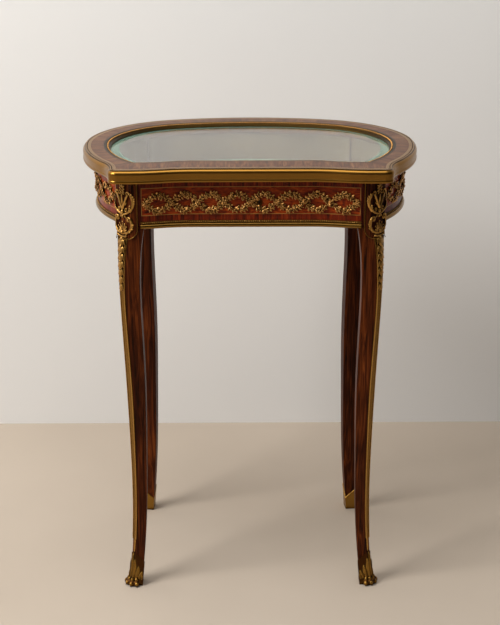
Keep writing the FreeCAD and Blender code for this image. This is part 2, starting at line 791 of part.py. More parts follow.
front_edge = front_leg_x - size("block_width")
front_end = size("leg_front") + size("block_width")
inner_corner = (fx - size("block_width"), fy + size("block_width"))
front_points = [(fx, -far), front_leg_middle, inner_corner]
case_front = sector("case_front", front_points + flipped(reversed(front_points)))
case_right = sector("case_right", side_sector_points(fx, fy))
case_left = sector("case_left", flipped(side_sector_points(fx, fy)))
back_points = [back_leg_middle, behind] + flipped([behind, back_leg_middle])
case_back = sector("case_back", back_points)
panel_edge = front_edge - size("rebate_width")
trim_front_points = [(panel_edge, -far), (panel_edge, fy * 2)]
trim_front_points += flipped(reversed(trim_front_points))
trim_front = sector("trim_front", trim_front_points)
trim_right = sector("trim_right", side_sector_points(fx, front_end))
trim_left = sector("trim_left", flipped(side_sector_points(fx, front_end)))
CASE_SECTORS = [("front", case_front), ("right", case_right), ("back", case_back), ("left", case_left)]

mitre = math.atan2(-opening_corner[1], lobe_x - opening_corner[0])
mitre_in = ray(opening_corner, mitre, -2.5 * size("ledge_width"))
mitre_out = ray(opening_corner, mitre, far)
seam = QUARTER - back_turn
seam_out = ray(inside, seam, far)
lid_right_points = [mitre_in, mitre_out, (far * 2, mitre_out[1]), (far * 2, seam_out[1]), seam_out, inside]
LID_SECTORS = [
    ("front", sector("lid_front", [mitre_in, mitre_out] + flipped([mitre_out, mitre_in]))),
    ("right", sector("lid_right", lid_right_points)),
    ("back", sector("lid_back", [inside, seam_out] + flipped([seam_out, inside]))),
    ("left", sector("lid_left", flipped(lid_right_points))),
]

# ---------------------------------------------------------------- lock
lock_x = size("lock_centre")
rail_face = size("front_dip") + size("case_setback") - half_depth
rail_inside = rail_face + size("rail_thickness")
lock_corner_y = rail_inside - size("lock_depth")
lock_y = rail_inside - size("lock_depth") / 2
lock_box = box("lock_box", ("lock_width", "lock_depth", "lock_height"),
               (lock_x - size("lock_width") / 2, lock_corner_y, case_top - size("lock_height")))
play = size("bolt_play")
channel_height = size("bolt_length") + size("bolt_travel")
channel = box("bolt_channel", ("bolt_width + 2 * bolt_play", "bolt_thickness + 2 * bolt_play",
                               "bolt_length + bolt_travel"),
              (lock_x - size("bolt_width") / 2 - play, lock_y - size("bolt_thickness") / 2 - play,
               case_top - channel_height))


def keyhole_outline(radius, slot):
    """Round hole with a slot below it, seen from the front."""
    z = case_top - size("keyhole_height")
    half = radius / 2
    shoulder = math.sqrt(radius ** 2 - half ** 2)
    turn = math.asin(shoulder / radius)
    hole = Part.ArcOfCircle(Part.Circle(Vector(lock_x, z, 0), UP, radius), -turn, math.pi + turn)
    right, left = Vector(lock_x + half, z - shoulder, 0), Vector(lock_x - half, z - shoulder, 0)
    low = z - slot
    foot_right, foot_left = Vector(lock_x + half, low, 0), Vector(lock_x - half, low, 0)
    return [hole, Part.LineSegment(right, foot_right), Part.LineSegment(foot_right, foot_left),
            Part.LineSegment(foot_left, left)]


keyhole = new_body("keyhole")
hole_curves = keyhole_outline(size("keyhole_radius"), size("keyhole_slot"))
RAIL_FACE = "table_depth / 2 - front_dip - case_setback"
keyhole_sketch = add_sketch(keyhole, "keyhole_sketch", "XZ_Plane", RAIL_FACE + " + fit", hole_curves)
pad(keyhole, "keyhole_prism", keyhole_sketch, "rail_thickness + fit - bolt_thickness / 2 - lock_depth / 2 "
    "- bolt_play - fit", True)
lock_solid = cut("lock_solid", lock_box, channel)
keep(cut("lock_case", lock_solid, keyhole))

bolt = box("lock_bolt", ("bolt_width", "bolt_thickness", "bolt_length"),
           (lock_x - size("bolt_width") / 2, lock_y - size("bolt_thickness") / 2,
            case_top - size("bolt_sink") - size("bolt_length")))
keep(bolt)

escutcheon = new_body("keyhole_escutcheon")
plate_z = case_top - size("keyhole_height") - size("keyhole_radius") / 2
plate_circle = Part.Circle(Vector(lock_x, plate_z, 0), UP, size("escutcheon_radius"))
escutcheon_sketch = add_sketch(escutcheon, "escutcheon_sketch", "XZ_Plane", RAIL_FACE,
                               [plate_circle], hole_curves)
pad(escutcheon, "escutcheon_pad", escutcheon_sketch, "escutcheon_thickness")
keep(escutcheon)

strike_slot = ("bolt_width + 2 * strike_play", "bolt_thickness + 2 * strike_play")
strike_box = box("strike_box", ("strike_width", "strike_depth", "strike_thickness"),
                 (lock_x - size("strike_width") / 2, lock_y - size("strike_depth") / 2, lid_bottom))
slot_corner = (lock_x - size("bolt_width") / 2 - size("strike_play"),
               lock_y - size("bolt_thickness") / 2 - size("strike_play"), lid_bottom)
mortise = box("mortise", strike_slot + ("mortise_depth",), slot_corner)
keep(cut("strike_plate", strike_box, mortise))

# ---------------------------------------------------------------- hinges
axis_y = half_depth - size("case_setback") + size("hinge_offset")
axis_z = lid_bottom - size("lid_gap") / 2
leaf_back = axis_y - size("knuckle_radius") - size("knuckle_gap")
LEAF_DEPTH = "hinge_reach - knuckle_radius - knuckle_gap"
# knuckles along a hinge: the case's leaf has the outer two, the lid's the middle one
share = size("knuckle_share")
gap = size("knuckle_gap")
KNUCKLES = {
    "case": [(-share * 1.5, share - gap / 2), (share * 0.5 + gap / 2, share - gap / 2)],
    "lid": [(-share * 0.5 + gap / 2, share - gap)],
}
ALONG_X = Vector(1, 0, 0)
case_cutters = []
lid_cutters = []
groove_cutters = []
case_screws = []
lid_screws = []
for hand, hinge_x in (("left", -size("hinge_spacing")), ("right", size("hinge_spacing"))):
    for owner in ("case", "lid"):
        title = "hinge_%s_%s" % (hand, owner)
        leaf_z = lid_bottom if owner == "lid" else case_top - size("hinge_leaf")
        left_end = hinge_x - size("hinge_length") / 2
        flap = box(title + "_flap", ("hinge_length", LEAF_DEPTH, "hinge_leaf"),
                   (left_end, axis_y - size("hinge_reach"), leaf_z))
        pieces = [flap]
        for number, (start, length) in enumerate(KNUCKLES[owner]):
            mark = title + "_%d" % number
            tab = box(mark + "_tab", ("knuckle_share", "knuckle_radius + 2 * knuckle_gap", "hinge_leaf"),
                      (hinge_x + start, leaf_back - gap, leaf_z))
            tab.setExpression("Length", None)
            tab.Length = length
            knuckle = cylinder(mark + "_knuckle", "knuckle_radius", "knuckle_share",
                               (hinge_x + start, axis_y, axis_z), ALONG_X)
            knuckle.setExpression("Height", None)
            knuckle.Height = length
            pieces += [tab, knuckle]
        bore = "pin_radius + pin_clearance" if owner == "lid" else "pin_radius"
        hole = cylinder(title + "_bore", bore, "hinge_length", (left_end, axis_y, axis_z), ALONG_X)
        tools = [hole]
        for side in (-1, 1):
            x = hinge_x + side * size("screw_spacing") / 2
            y = axis_y - size("screw_reach")
            mark = title + ("_screw_a" if side < 0 else "_screw_b")
            head = doc.addObject("Part::Cone", mark + "_head")
            head.setExpression("Height", rule("screw_head_radius - screw_radius"))
            shank = doc.addObject("Part::Cylinder", mark + "_shank")
            shank.setExpression("Radius", rule("screw_radius"))
            shank.setExpression("Height", rule("screw_length"))
            if owner == "lid":
                head.setExpression("Radius1", rule("screw_head_radius"))
                head.setExpression("Radius2", rule("screw_radius"))
                head.Placement.Base = Vector(x, y, lid_bottom)
                shank.Placement.Base = Vector(x, y, lid_bottom)
            else:
                drop = size("screw_head_radius") - size("screw_radius")
                head.setExpression("Radius1", rule("screw_radius"))
                head.setExpression("Radius2", rule("screw_head_radius"))
                head.Placement.Base = Vector(x, y, case_top - drop)
                shank.Placement.Base = Vector(x, y, case_top - size("screw_length"))
            screw = fuse(mark, [head, shank])
            tools.append(screw)
            (lid_screws if owner == "lid" else case_screws).append(screw)
        leaf_solid = fuse(title + "_solid", pieces)
        keep(cut(title + "_leaf", leaf_solid, fuse(title + "_tools", tools)))
        (lid_cutters if owner == "lid" else case_cutters).append(flap)
    groove = box("hinge_%s_groove" % hand, ("hinge_length + 2 * groove_play",
                                            "2 * knuckle_radius + 2 * groove_play",
                                            "knuckle_radius + groove_play + lid_gap"),
                 (hinge_x - size("hinge_length") / 2 - size("groove_play"),
                  axis_y - size("knuckle_radius") - size("groove_play"), axis_z))
    groove_cutters.append(groove)
    pin = cylinder("hinge_%s_pin" % hand, "pin_radius", "hinge_length",
                   (hinge_x - size("hinge_length") / 2, axis_y, axis_z), ALONG_X)
    keep(pin)
keep(fuse("case_hinge_screws", case_screws), fuse("lid_hinge_screws", lid_screws))
grooves = fuse("hinge_grooves", groove_cutters)

# ---------------------------------------------------------------- lid
# rim: a flat top with a groove, a small step, a round shoulder, a leaning face and a bead, swept
# round the kidney
rim_start = size("front_dip") - half_depth


def rim_point(inset, height):
    return Vector(rim_start + inset, height + lid_bottom, 0)


top, width = size("lid_height"), size("rim_width")
setback, lean = size("rim_setback"), size("rim_setback") + size("rim_batter")
bead = size("rim_bead") / 2
across, low = size("rim_shoulder_width"), top - size("rim_step") - size("rim_shoulder")
high = top - size("rim_step")
diagonal = math.sin(math.pi / 4)
groove_half, groove_at = size("rim_groove") / 2, size("rim_groove_inset")
rim_corners = [
    rim_point(setback, low),
    rim_point(lean, 2 * bead),
    rim_point(lean, 0),
    rim_point(width, 0),
    rim_point(width, top),
    rim_point(groove_at + groove_half, top),
    rim_point(groove_at, top - size("rim_groove_depth")),
    rim_point(groove_at - groove_half, top),
    rim_point(across + setback, top),
    rim_point(across + setback, high),
]
rim_profile = [Part.LineSegment(rim_corners[0], rim_corners[1])]
rim_profile.append(Part.Arc(rim_corners[1], rim_point(0, bead), rim_corners[2]))
rim_profile += [Part.LineSegment(a, b) for a, b in zip(rim_corners[2:], rim_corners[3:])]
shoulder_way = rim_point(setback + across * (1 - diagonal), high - (high - low) * (1 - diagonal))
rim_profile.append(Part.Arc(rim_corners[-1], shoulder_way, rim_corners[0]))
rim_ring = sweep("rim_ring", "YZ_Plane", "0", table_outline(0), rim_profile)
keep(cut("lid_rim", rim_ring, grooves))

# wooden frame: full height to the opening, a ledge under the glass, mitred into four members
frame_ring = new_body("frame_ring")
upper = add_sketch(frame_ring, "frame_upper", "XY_Plane", LEDGE_TOP,
                   outline(table_outline(size("rim_width"))), outline(opening_outline(0)))
pad(frame_ring, "frame_upper_pad", upper, "lid_height - ledge_thickness")
lower = add_sketch(frame_ring, "frame_lower", "XY_Plane", LID_BOTTOM,
                   outline(table_outline(size("rim_width"))),
                   outline(opening_outline(size("ledge_width"))))
pad(frame_ring, "frame_lower_pad", lower, "ledge_thickness")
frame_tools = fuse("frame_tools", [grooves, strike_box, mortise] + lid_cutters + lid_screws)
frame_cut = cut("frame_cut", frame_ring, frame_tools)
for name, cutter in LID_SECTORS:
    keep(common("lid_frame_" + name, frame_cut, cutter))

# glass: a flat pane with a broad ground bevel
glass = new_body("glass_pane")
edge_inset = size("glass_play")
bevel_inset = edge_inset + size("bevel_width")
glass_plan = add_sketch(glass, "glass_plan", "XY_Plane", LEDGE_TOP, outline(opening_outline(edge_inset)))
pad(glass, "glass_edge", glass_plan, "glass_thickness - bevel_drop")
bevel_foot = add_sketch(glass, "bevel_foot", "XY_Plane", GLASS_EDGE_TOP,
                        outline(opening_outline(edge_inset)))
bevel_head = add_sketch(glass, "bevel_head", "XY_Plane", GLASS_EDGE_TOP + " + bevel_drop",
                        outline(opening_outline(bevel_inset)))
ruled_loft(glass, "AdditiveLoft", "bevel", [bevel_foot, bevel_head])
keep(glass)

# inner moulding: holds the pane down, flat on top and sloping in to the glass
moulding = new_body("lid_inner_moulding")
MOULDING_BOTTOM = (GLASS_EDGE_TOP + " + bevel_drop * ( moulding_width - glass_play ) / bevel_width"
                   " + moulding_play")
moulding_sketch = add_sketch(moulding, "moulding_plan", "XY_Plane", MOULDING_BOTTOM,
                             outline(opening_outline(0)),
                             outline(opening_outline(size("moulding_width"))))
MOULDING_HEIGHT = ("lid_height - ledge_thickness - glass_thickness + bevel_drop - "
                   "bevel_drop * ( moulding_width - glass_play ) / bevel_width - moulding_play")
pad(moulding, "moulding_pad", moulding_sketch, MOULDING_HEIGHT)
slope_foot = add_sketch(moulding, "slope_foot", "XY_Plane", "table_height - moulding_fall",
                        outline(opening_outline(size("moulding_width"))))
slope_head = add_sketch(moulding, "slope_head", "XY_Plane", "table_height",
                        outline(opening_outline(size("moulding_flat"))))
ruled_loft(moulding, "SubtractiveLoft", "slope", [slope_foot, slope_head])
keep(moulding)

# ---------------------------------------------------------------- case
face, back_face = size("case_setback"), size("case_setback") + size("rail_thickness")
case_ring = plan_body("case_ring", CASE_BOTTOM, "case_height", outline(table_outline(face)),
                      outline(table_outline(back_face)))
rebates = []
for hand, x in (("left", -front_edge), ("right", panel_edge)):
    lengths = ("rebate_width", "leg_front + case_setback + rebate_depth", "table_height")
    rebate = box("rebate_" + hand, lengths, (x, -half_depth - size("leg_front"), 0))
    rebates.append(rebate)
in_the_case = legs + corner_rooms + rebates + [lock_box, keyhole] + case_cutters + case_screws
case_tools = fuse("case_tools", in_the_case)
case_cut = cut("case_cut", case_ring, case_tools)
for name, cutter in CASE_SECTORS:
    keep(common(name + "_rail", case_cut, cutter))

board = plan_body("board", BOARD_BOTTOM, "board_thickness",
                  outline(table_outline(back_face + size("fit"))))
keep(cut("bottom_board", board, all_legs))

# glue blocks stand under the board against the rails, two to a side
block_ring = plan_body("block_ring", CASE_BOTTOM, "board_rise", outline(table_outline(back_face)),
                       outline(table_outline(back_face + size("glue_block_width"))))
block_spots = []
half_block = size("glue_block_length") / 2
for number, x in enumerate((-swell_start, swell_start)):
    block_spots.append(box("front_spot_%d" % number, ("glue_block_length", "table_depth / 3", "table_height"),
                           (x - half_block, -half_depth, 0)))
    block_spots.append(box("back_spot_%d" % number, ("glue_block_length", "table_depth / 3", "table_height"),
                           (x - half_block, half_depth / 3, 0)))
for number, y in enumerate((wide_y - swell_start, wide_y + swell_start / 2)):
    block_spots.append(box("side_spot_%d" % number, ("table_width", "glue_block_length", "table_height"),
                           (-half_width, y - half_depth - half_block, 0)))
keep(common("glue_blocks", block_ring, fuse("block_spots", block_spots)))


def block_room(label, growth):
    """Room for the four leg blocks with some air round them."""
    rooms = []
    side = "block_width + " + growth
    for name, x, y, bearing in LEGS:
        room = box(label + "_" + name, (side, side, "table_height * 2"), (0, 0, 0))
        room.Placement = leg_place(x, y, bearing)
        rooms.append(room)
    return fuse(label, rooms)


def cavity(label, bottom, height, inset, growth):
    """What is free inside the rails, at a distance from them and from the legs."""
    prism = plan_body(label + "_prism", bottom, height, outline(table_outline(inset)))
    return cut(label, prism, block_room(label + "_room", growth))


keep(cavity("display_pad", BOARD_TOP, "pad_thickness", back_face + size("pad_play"), "pad_play"))
LINING_HEIGHT = "case_height - board_rise - board_thickness - lining_top"
lining_outer = cavity("lining_outer", BOARD_TOP, LINING_HEIGHT, back_face + size("fit"), "fit")
lining_inner = cavity("lining_inner", BOARD_TOP, LINING_HEIGHT,
                      back_face + size("fit") + size("lining_thickness"), "fit + lining_thickness")
keep(cut("velvet_lining", lining_outer, lining_inner))


# base mouldings: a half-round under a row of pearls, swept along the foot of the case
def base_profile(start, outward):
    """Profile across a moulding: start is the case's face, outward is 1 or -1."""
    low = case_bottom - size("base_moulding_drop")
    level = low + size("base_moulding_height")
    high = level + size("pearl_height")
    fillet = start + outward * size("pearl_proud")
    belly = Vector(start + outward * size("base_moulding_proud"), (low + level) / 2, 0)
    corners = [Vector(fillet, level, 0), Vector(fillet, high, 0)]
    corners += [Vector(start, high, 0), Vector(start, low, 0)]
    edges = [Part.LineSegment(a, b) for a, b in zip(corners, corners[1:])]
    return [Part.Arc(corners[-1], belly, corners[0])] + edges


rear = half_depth - face
flank = half_width - face
WIDEST = "%.9f" % (half_depth - wide_y)
side_run = side_right(face)
back_run = [rounded_back(face), back_arc(face)] + mirrored([rounded_back(face)])
front_run = mirrored(front_right(face)) + [middle(0, face)] + front_right(face)
RUNS = [
    ("front", "YZ_Plane", "0", front_run, base_profile(rail_face, -1), trim_front),
    ("right", "XZ_Plane", WIDEST, side_run, base_profile(flank, 1), trim_right),
    ("back", "YZ_Plane", "0", back_run, base_profile(rear, 1), case_back),
    ("left", "XZ_Plane", WIDEST, mirrored(side_run), base_profile(-flank, -1), trim_left),
]
for name, role, offset, run, profile, cutter in RUNS:
    length = sweep(name + "_moulding_run", role, offset, run, profile)
    between = common(name + "_moulding_between", length, cutter)
    keep(cut(name + "_base_moulding", between, legs_and_chutes))

# ---------------------------------------------------------------- garlands
relief_band = plan_body("relief_band", CASE_BOTTOM, "case_height",
                        outline(table_outline(face - size("garland_relief"))),
                        outline(table_outline(face)))


def loop_outlines(centre):
    """A lens-shaped loop and the opening in it."""
    rings = []
    half = size("loop_pitch") / 2 + size("loop_overlap")
    tall = size("loop_height") / 2
    for less in (0.0, size("loop_band")):
        left = Vector(centre - half + less * 1.3, garland_z, 0)
        right = Vector(centre + half - less * 1.3, garland_z, 0)
        above = Vector(centre, garland_z + tall - less, 0)
        below = Vector(centre, garland_z - tall + less, 0)
        rings.append([Part.Arc(left, above, right), Part.Arc(left, below, right)])
    return rings


def garland(label, room, centre, role, offset, depth, other_way):
    """A chain of as many loops as there is room for, laid round the case's face."""
    count = int(room / size("loop_pitch"))
    body = new_body(label + "_chain")
    first = centre - (count - 1) / 2 * size("loop_pitch")
    sketch = add_sketch(body, label + "_loop", role, offset, *loop_outlines(first))
    link = pad(body, label + "_link", sketch, depth, other_way)
    chain = body.newObject("PartDesign::LinearPattern", label + "_links")
    chain.Originals = [link]
    chain.Direction = (sketch, ["H_Axis"])
    chain.Mode = "Extent"
    chain.setExpression("Length", rule("loop_pitch * %d" % (count - 1)))
    chain.Occurrences = count
    body.Tip = chain
    return common(label, body, relief_band)


block_reach = block_half * math.sqrt(2)
side_end = back_leg_middle[1] - block_reach
side_middle = (front_end + side_end) / 2 - half_depth
margin = 2 * size("garland_margin")
front_room = 2 * front_edge - margin
side_room = side_end - front_end - margin
back_room = 2 * (back_leg_middle[0] - block_reach - size("back_garland_margin"))
keep(garland("front_garland", front_room, 0.0, "XZ_Plane", "table_depth", "table_depth", True))
keep(garland("back_garland", back_room, 0.0, "XZ_Plane", "0", "table_depth", True))
keep(garland("right_garland", side_room, side_middle, "YZ_Plane", "0", "table_width", False))
keep(garland("left_garland", side_room, side_middle, "YZ_Plane", "0", "table_width", True))

# ---------------------------------------------------------------- check and write
doc.recompute()
failed = [o.Name for o in doc.Objects if "Invalid" in o.State or "Error" in o.State]
if failed:
    raise RuntimeError("features did not build: " + ", ".join(failed))
os.makedirs("parts", exist_ok=True)
for part in parts:
    shape = part.Shape
    if shape.isNull() or not shape.isValid() or not shape.Solids:
        raise RuntimeError(part.Label + " has no valid solid")
    shape.exportStep("parts/%s.step" % part.Label)
print("%d parts written" % len(parts))
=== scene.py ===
# %% [markdown]
# # A kidney-shaped collectors display table
# Four cabriole legs with bronze paws carry a shallow veneered case under a hinged glass lid.
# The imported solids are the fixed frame. This script gives them their finishes, and replaces the
# plain bronze mounts and the plain velvet by carved and padded ones.

# %% load the frame
import json
import math
import random

import bmesh
import bpy
from mathutils import Matrix, Vector
from mathutils.bvhtree import BVHTree


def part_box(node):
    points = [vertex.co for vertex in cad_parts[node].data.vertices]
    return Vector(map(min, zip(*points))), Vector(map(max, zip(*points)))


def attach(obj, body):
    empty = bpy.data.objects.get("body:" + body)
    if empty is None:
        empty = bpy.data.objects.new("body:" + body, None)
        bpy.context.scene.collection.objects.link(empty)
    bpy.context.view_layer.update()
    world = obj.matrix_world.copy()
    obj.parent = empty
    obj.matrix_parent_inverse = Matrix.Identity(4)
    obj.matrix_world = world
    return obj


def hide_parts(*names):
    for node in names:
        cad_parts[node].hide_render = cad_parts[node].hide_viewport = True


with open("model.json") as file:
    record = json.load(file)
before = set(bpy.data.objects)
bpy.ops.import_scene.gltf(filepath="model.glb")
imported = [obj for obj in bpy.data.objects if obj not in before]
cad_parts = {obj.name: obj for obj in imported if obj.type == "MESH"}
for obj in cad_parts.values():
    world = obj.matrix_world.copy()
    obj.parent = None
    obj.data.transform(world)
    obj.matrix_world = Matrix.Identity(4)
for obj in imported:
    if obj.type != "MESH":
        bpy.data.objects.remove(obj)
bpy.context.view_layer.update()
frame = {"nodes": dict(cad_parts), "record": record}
nodes = frame["nodes"]
MM = 0.001
UP = Vector((0, 0, 1))

# %% [markdown]
# ## Camera
# A standing viewer's camera, a little above the lid and almost straight in front. Its lens, place
# and tilt were worked out from the lid's outline and the feet, so they are given as plain sizes.

# %% camera
LENS = 90.77
CAMERA_PLACE = Vector((-0.0236, -2.7043, 1.3867))
TILT_DOWN = math.radians(19.022)
TURN_RIGHT = math.radians(0.497)
ROLL = math.radians(-0.051)

camera = bpy.data.objects.new("camera", bpy.data.cameras.new("camera"))
bpy.context.scene.collection.objects.link(camera)
camera.data.lens = LENS
camera.data.sensor_width = 36.0
camera.data.sensor_fit = "AUTO"
look = Matrix.Rotation(-TURN_RIGHT, 4, "Z") @ Matrix.Rotation(math.pi / 2 - TILT_DOWN, 4, "X")
camera.matrix_world = Matrix.Translation(CAMERA_PLACE) @ look @ Matrix.Rotation(ROLL, 4, "Z")
bpy.context.scene.camera = camera
print("camera at", tuple(round(v, 3) for v in CAMERA_PLACE))


# %% [markdown]
# ## Helpers for node materials
# A colour is written as the hex value that a painter's chart would give, so one function turns it
# into the linear numbers that Blender wants. Another adds one node with its settings and links,
# which keeps every material short enough to read.

# %% node helpers
def linear(hex_colour):
    """The linear colour of an sRGB hex value such as 8A5A3B."""
    channels = []
    for start in (0, 2, 4):
        value = int(hex_colour[start:start + 2], 16) / 255
        channels.append(value / 12.92 if value <= 0.04045 else ((value + 0.055) / 1.055) ** 2.4)
    return (*channels, 1.0)


def add(tree, kind, inputs=None, **settings):
    """Adds a node. Inputs are numbers or other nodes' outputs; settings are its own properties."""
    node = tree.nodes.new("ShaderNode" + kind)
    for name, value in settings.items():
        setattr(node, name, value)
    for key, value in (inputs or {}).items():
        if isinstance(value, bpy.types.NodeSocket):
            tree.links.new(value, node.inputs[key])
        else:
            node.inputs[key].default_value = value
    return node


def calc(tree, operation, first, second=0.0, third=0.0):
    """One step of arithmetic between sockets and numbers."""
    node = add(tree, "Math", {0: first, 1: second, 2: third}, operation=operation)
    return node.outputs[0]


def ramp(tree, factor, *stops):
    """A colour ramp: stops are (position, hex colour)."""
    node = add(tree, "ValToRGB", {"Fac": factor})
    elements = node.color_ramp.elements
    while len(elements) < len(stops):
        elements.new(0.5)
    for element, (position, colour) in zip(elements, stops):
        element.position = position
        element.color = linear(colour)
    return node.outputs["Color"]


def blend(tree, factor, first, second, mode="MIX"):
    """Mixes two colours, each a socket or a hex value. Sockets 6 and 7 are the node's colours."""
    pair = [linear(colour) if isinstance(colour, str) else colour for colour in (first, second)]
    node = add(tree, "Mix", {0: factor, 6: pair[0], 7: pair[1]}, data_type="RGBA", blend_type=mode)
    return node.outputs[2]


def new_material(name, rough, metal=0.0, coat=0.0, coat_rough=0.1):
    """A node material with its tree and its Principled shader's uniform numbers set."""
    material = bpy.data.materials.new(name)
    material.use_nodes = True
    shader = material.node_tree.nodes["Principled BSDF"]
    shader.inputs["Roughness"].default_value = rough
    shader.inputs["Metallic"].default_value = metal
    shader.inputs["Coat Weight"].default_value = coat
    shader.inputs["Coat Roughness"].default_value = coat_rough
    return material, material.node_tree, shader


def bump(tree, shader, height, distance, strength=1.0):
    """Relief from a height socket; the distance is in metres."""
    node = add(tree, "Bump", {"Height": height, "Distance": distance, "Strength": strength})
    tree.links.new(node.outputs["Normal"], shader.inputs["Normal"])


# %% [markdown]
# ## Gilt bronze
# The mounts are cast bronze, once fire-gilt and now toned: gold on what hands and cloths rub, brown
# in the hollows, partly for the dirt and lacquer that stay there and partly as painted shade.
# Ambient occlusion finds the hollows by itself, which suits carving better than painting them. A
# fine noise breaks the shine up.

# %% gilt bronze
def gilt_bronze(name, gold, brown, rough, shade_reach, cloud=160.0, middle="6E4D22", wear=0.55):
    """Toned gilding: gold where it stands free, brown in hollows of the given width, as dirt and painted
    shade.
    """
    material, tree, shader = new_material(name, rough, metal=1.0)
    place = add(tree, "TexCoord").outputs["Object"]
    # painted shade: ambient occlusion darkens the hollows towards the brown
    hollow_shade = add(tree, "AmbientOcclusion", {"Distance": shade_reach}, samples=8)
    patches = add(tree, "TexNoise", {"Vector": place, "Scale": cloud, "Detail": 5.0, "Roughness": 0.65})
    worn = calc(tree, "MULTIPLY_ADD", patches.outputs["Fac"], wear, -0.5 * wear)
    free = calc(tree, "ADD", calc(tree, "POWER", hollow_shade.outputs["AO"], 1.6), worn)
    tree.links.new(ramp(tree, free, (0.22, brown), (0.5, middle), (0.88, gold)), shader.inputs["Base Color"])
    dull = add(tree, "MapRange", {"Value": free, "From Min": 0.2, "From Max": 0.9,
                                  "To Min": rough + 0.25, "To Max": rough})
    tree.links.new(dull.outputs["Result"], shader.inputs["Roughness"])
    grain = add(tree, "TexNoise", {"Vector": place, "Scale": 1800.0, "Detail": 3.0})
    bump(tree, shader, grain.outputs["Fac"], 0.00012, 0.5)
    return material


# gilt bronze of the carved mounts: pale gold tips over brown hollows darkened by painted shade
bronze = gilt_bronze("gilt_bronze", "C89750", "130903", 0.28, 0.012, wear=1.1)
# gilt bronze of the garlands: the palest, because their thin leaf tips are rubbed bare; its painted shade
# reaches widest, between the leaves
garland_bronze = gilt_bronze("rubbed_garland_bronze", "D8A05C", "120702", 0.3, 0.013,
                             cloud=380.0, middle="583714", wear=1.3)
# gilt bronze of toes, paw leaves and the back shoes: duller and a little darker, as if waxed
foot_bronze = gilt_bronze("waxed_foot_bronze", "9A7233", "120A04", 0.38, 0.008, cloud=240.0, wear=0.9)
# bronze of the front shoes and the escutcheon: brown, painted dark as the shade on the front shoes' faces, so
# that the carving over it stands out
shoe_bronze = gilt_bronze("shade_darkened_shoe_bronze", "4A2C14", "0E0703", 0.45, 0.008, cloud=120.0)
# gilt bronze of the plain mouldings: smoother and darker, with soft long reflections
moulding_bronze = gilt_bronze("toned_moulding_bronze", "86632C", "2A1805", 0.24, 0.004, cloud=60.0)
# gilt bronze of the lid's rim: the same, and the next cell paints the shade of fine turned grooves on it
rim_bronze = gilt_bronze("toned_rim_bronze", "946A2C", "261605", 0.28, 0.004, cloud=38.0, wear=1.2)
# brass of the lid's inner moulding: painted dark as shade on its slope, which would otherwise mirror the
# bright wall
inner_brass = gilt_bronze("shade_darkened_inner_brass", "35260F", "110A04", 0.4, 0.006, cloud=90.0)
# satin brass of hinges, pins and screws: cleaner, because the shut lid covers it
hardware_brass = gilt_bronze("satin_hardware_brass", "B8924E", "5A401C", 0.32, 0.003, cloud=300.0)


# %% [markdown]
# ## Turned grooves on the rim, as painted shade
# Two fine turned grooves run round the rim under its top edge. They are finer than the solid shows, so
# their shade is painted: the bronze turns dark where its level is that of a groove.

# %% painted groove shade on the rim
LINES_DOWN = (0.25 * MM, 1.6 * MM)
LINE_WIDTH = 0.44 * MM
rim_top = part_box("lid_rim")[1][2]
rim_nodes = rim_bronze.node_tree
rim_place = add(rim_nodes, "TexCoord").outputs["Object"]
rim_level = add(rim_nodes, "SeparateXYZ", {"Vector": rim_place}).outputs["Z"]
rim_shader = rim_nodes.nodes["Principled BSDF"]
rim_colour = rim_shader.inputs["Base Color"].links[0].from_socket
for down in LINES_DOWN:
    off = calc(rim_nodes, "ABSOLUTE", calc(rim_nodes, "SUBTRACT", rim_level, rim_top - down))
    groove_shade = calc(rim_nodes, "LESS_THAN", off, LINE_WIDTH / 2)
    # painted shade of the groove: the bronze turns dark at its level
    rim_colour = blend(rim_nodes, groove_shade, rim_colour, "1C1107")
rim_nodes.links.new(rim_colour, rim_shader.inputs["Base Color"])

# %% [markdown]
# ## Lock steel
# The lock and its bolt are plain bright steel, drawn and filed in one direction, so its noise is
# stretched along the bolt's way.

# %% lock steel
def drawn_steel():
    """Bright steel with fine lines along its length."""
    material, tree, shader = new_material("filed_lock_steel", 0.34, metal=1.0)
    place = add(tree, "TexCoord").outputs["Object"]
    lines = add(tree, "Mapping", {"Vector": place, "Scale": (900.0, 900.0, 60.0)})
    noise = add(tree, "TexNoise", {"Vector": lines.outputs["Vector"], "Scale": 1.0, "Detail": 4.0})
    bright = ramp(tree, noise.outputs["Fac"], (0.3, "6E6B66"), (0.7, "A19D96"))
    tree.links.new(bright, shader.inputs["Base Color"])
    bump(tree, shader, noise.outputs["Fac"], 0.0001, 0.4)
    return material


lock_steel = drawn_steel()

# %% [markdown]
# ## Polished veneers
# Case and legs wear kingwood and rosewood under French polish. The wood is one noise stretched
# along the grain for its figure and a finer one for its pores. Rails and lid have a thin clear coat
# over both, and the duller legs have none. Where the real veneers change direction, so does the
# pattern, and dark joints part the pieces of the lid's band.


# %% veneer figure
def figure(tree, place, scale, warp=0.6, detail=6.0):
    """Streaks of wood: noise of the given scales a metre along X, Y and Z."""
    stretched = add(tree, "Mapping", {"Vector": place, "Scale": scale})
    noise = add(tree, "TexNoise", {"Vector": stretched.outputs["Vector"], "Scale": 1.0, "Detail": detail,
                                   "Roughness": 0.62, "Distortion": warp})
    return noise.outputs["Fac"]


def open_pores(tree, shader, pores):
    """The wood's pores as fine relief, which the polish doesn't quite fill."""
    bump(tree, shader, pores, 0.00006, 0.35)


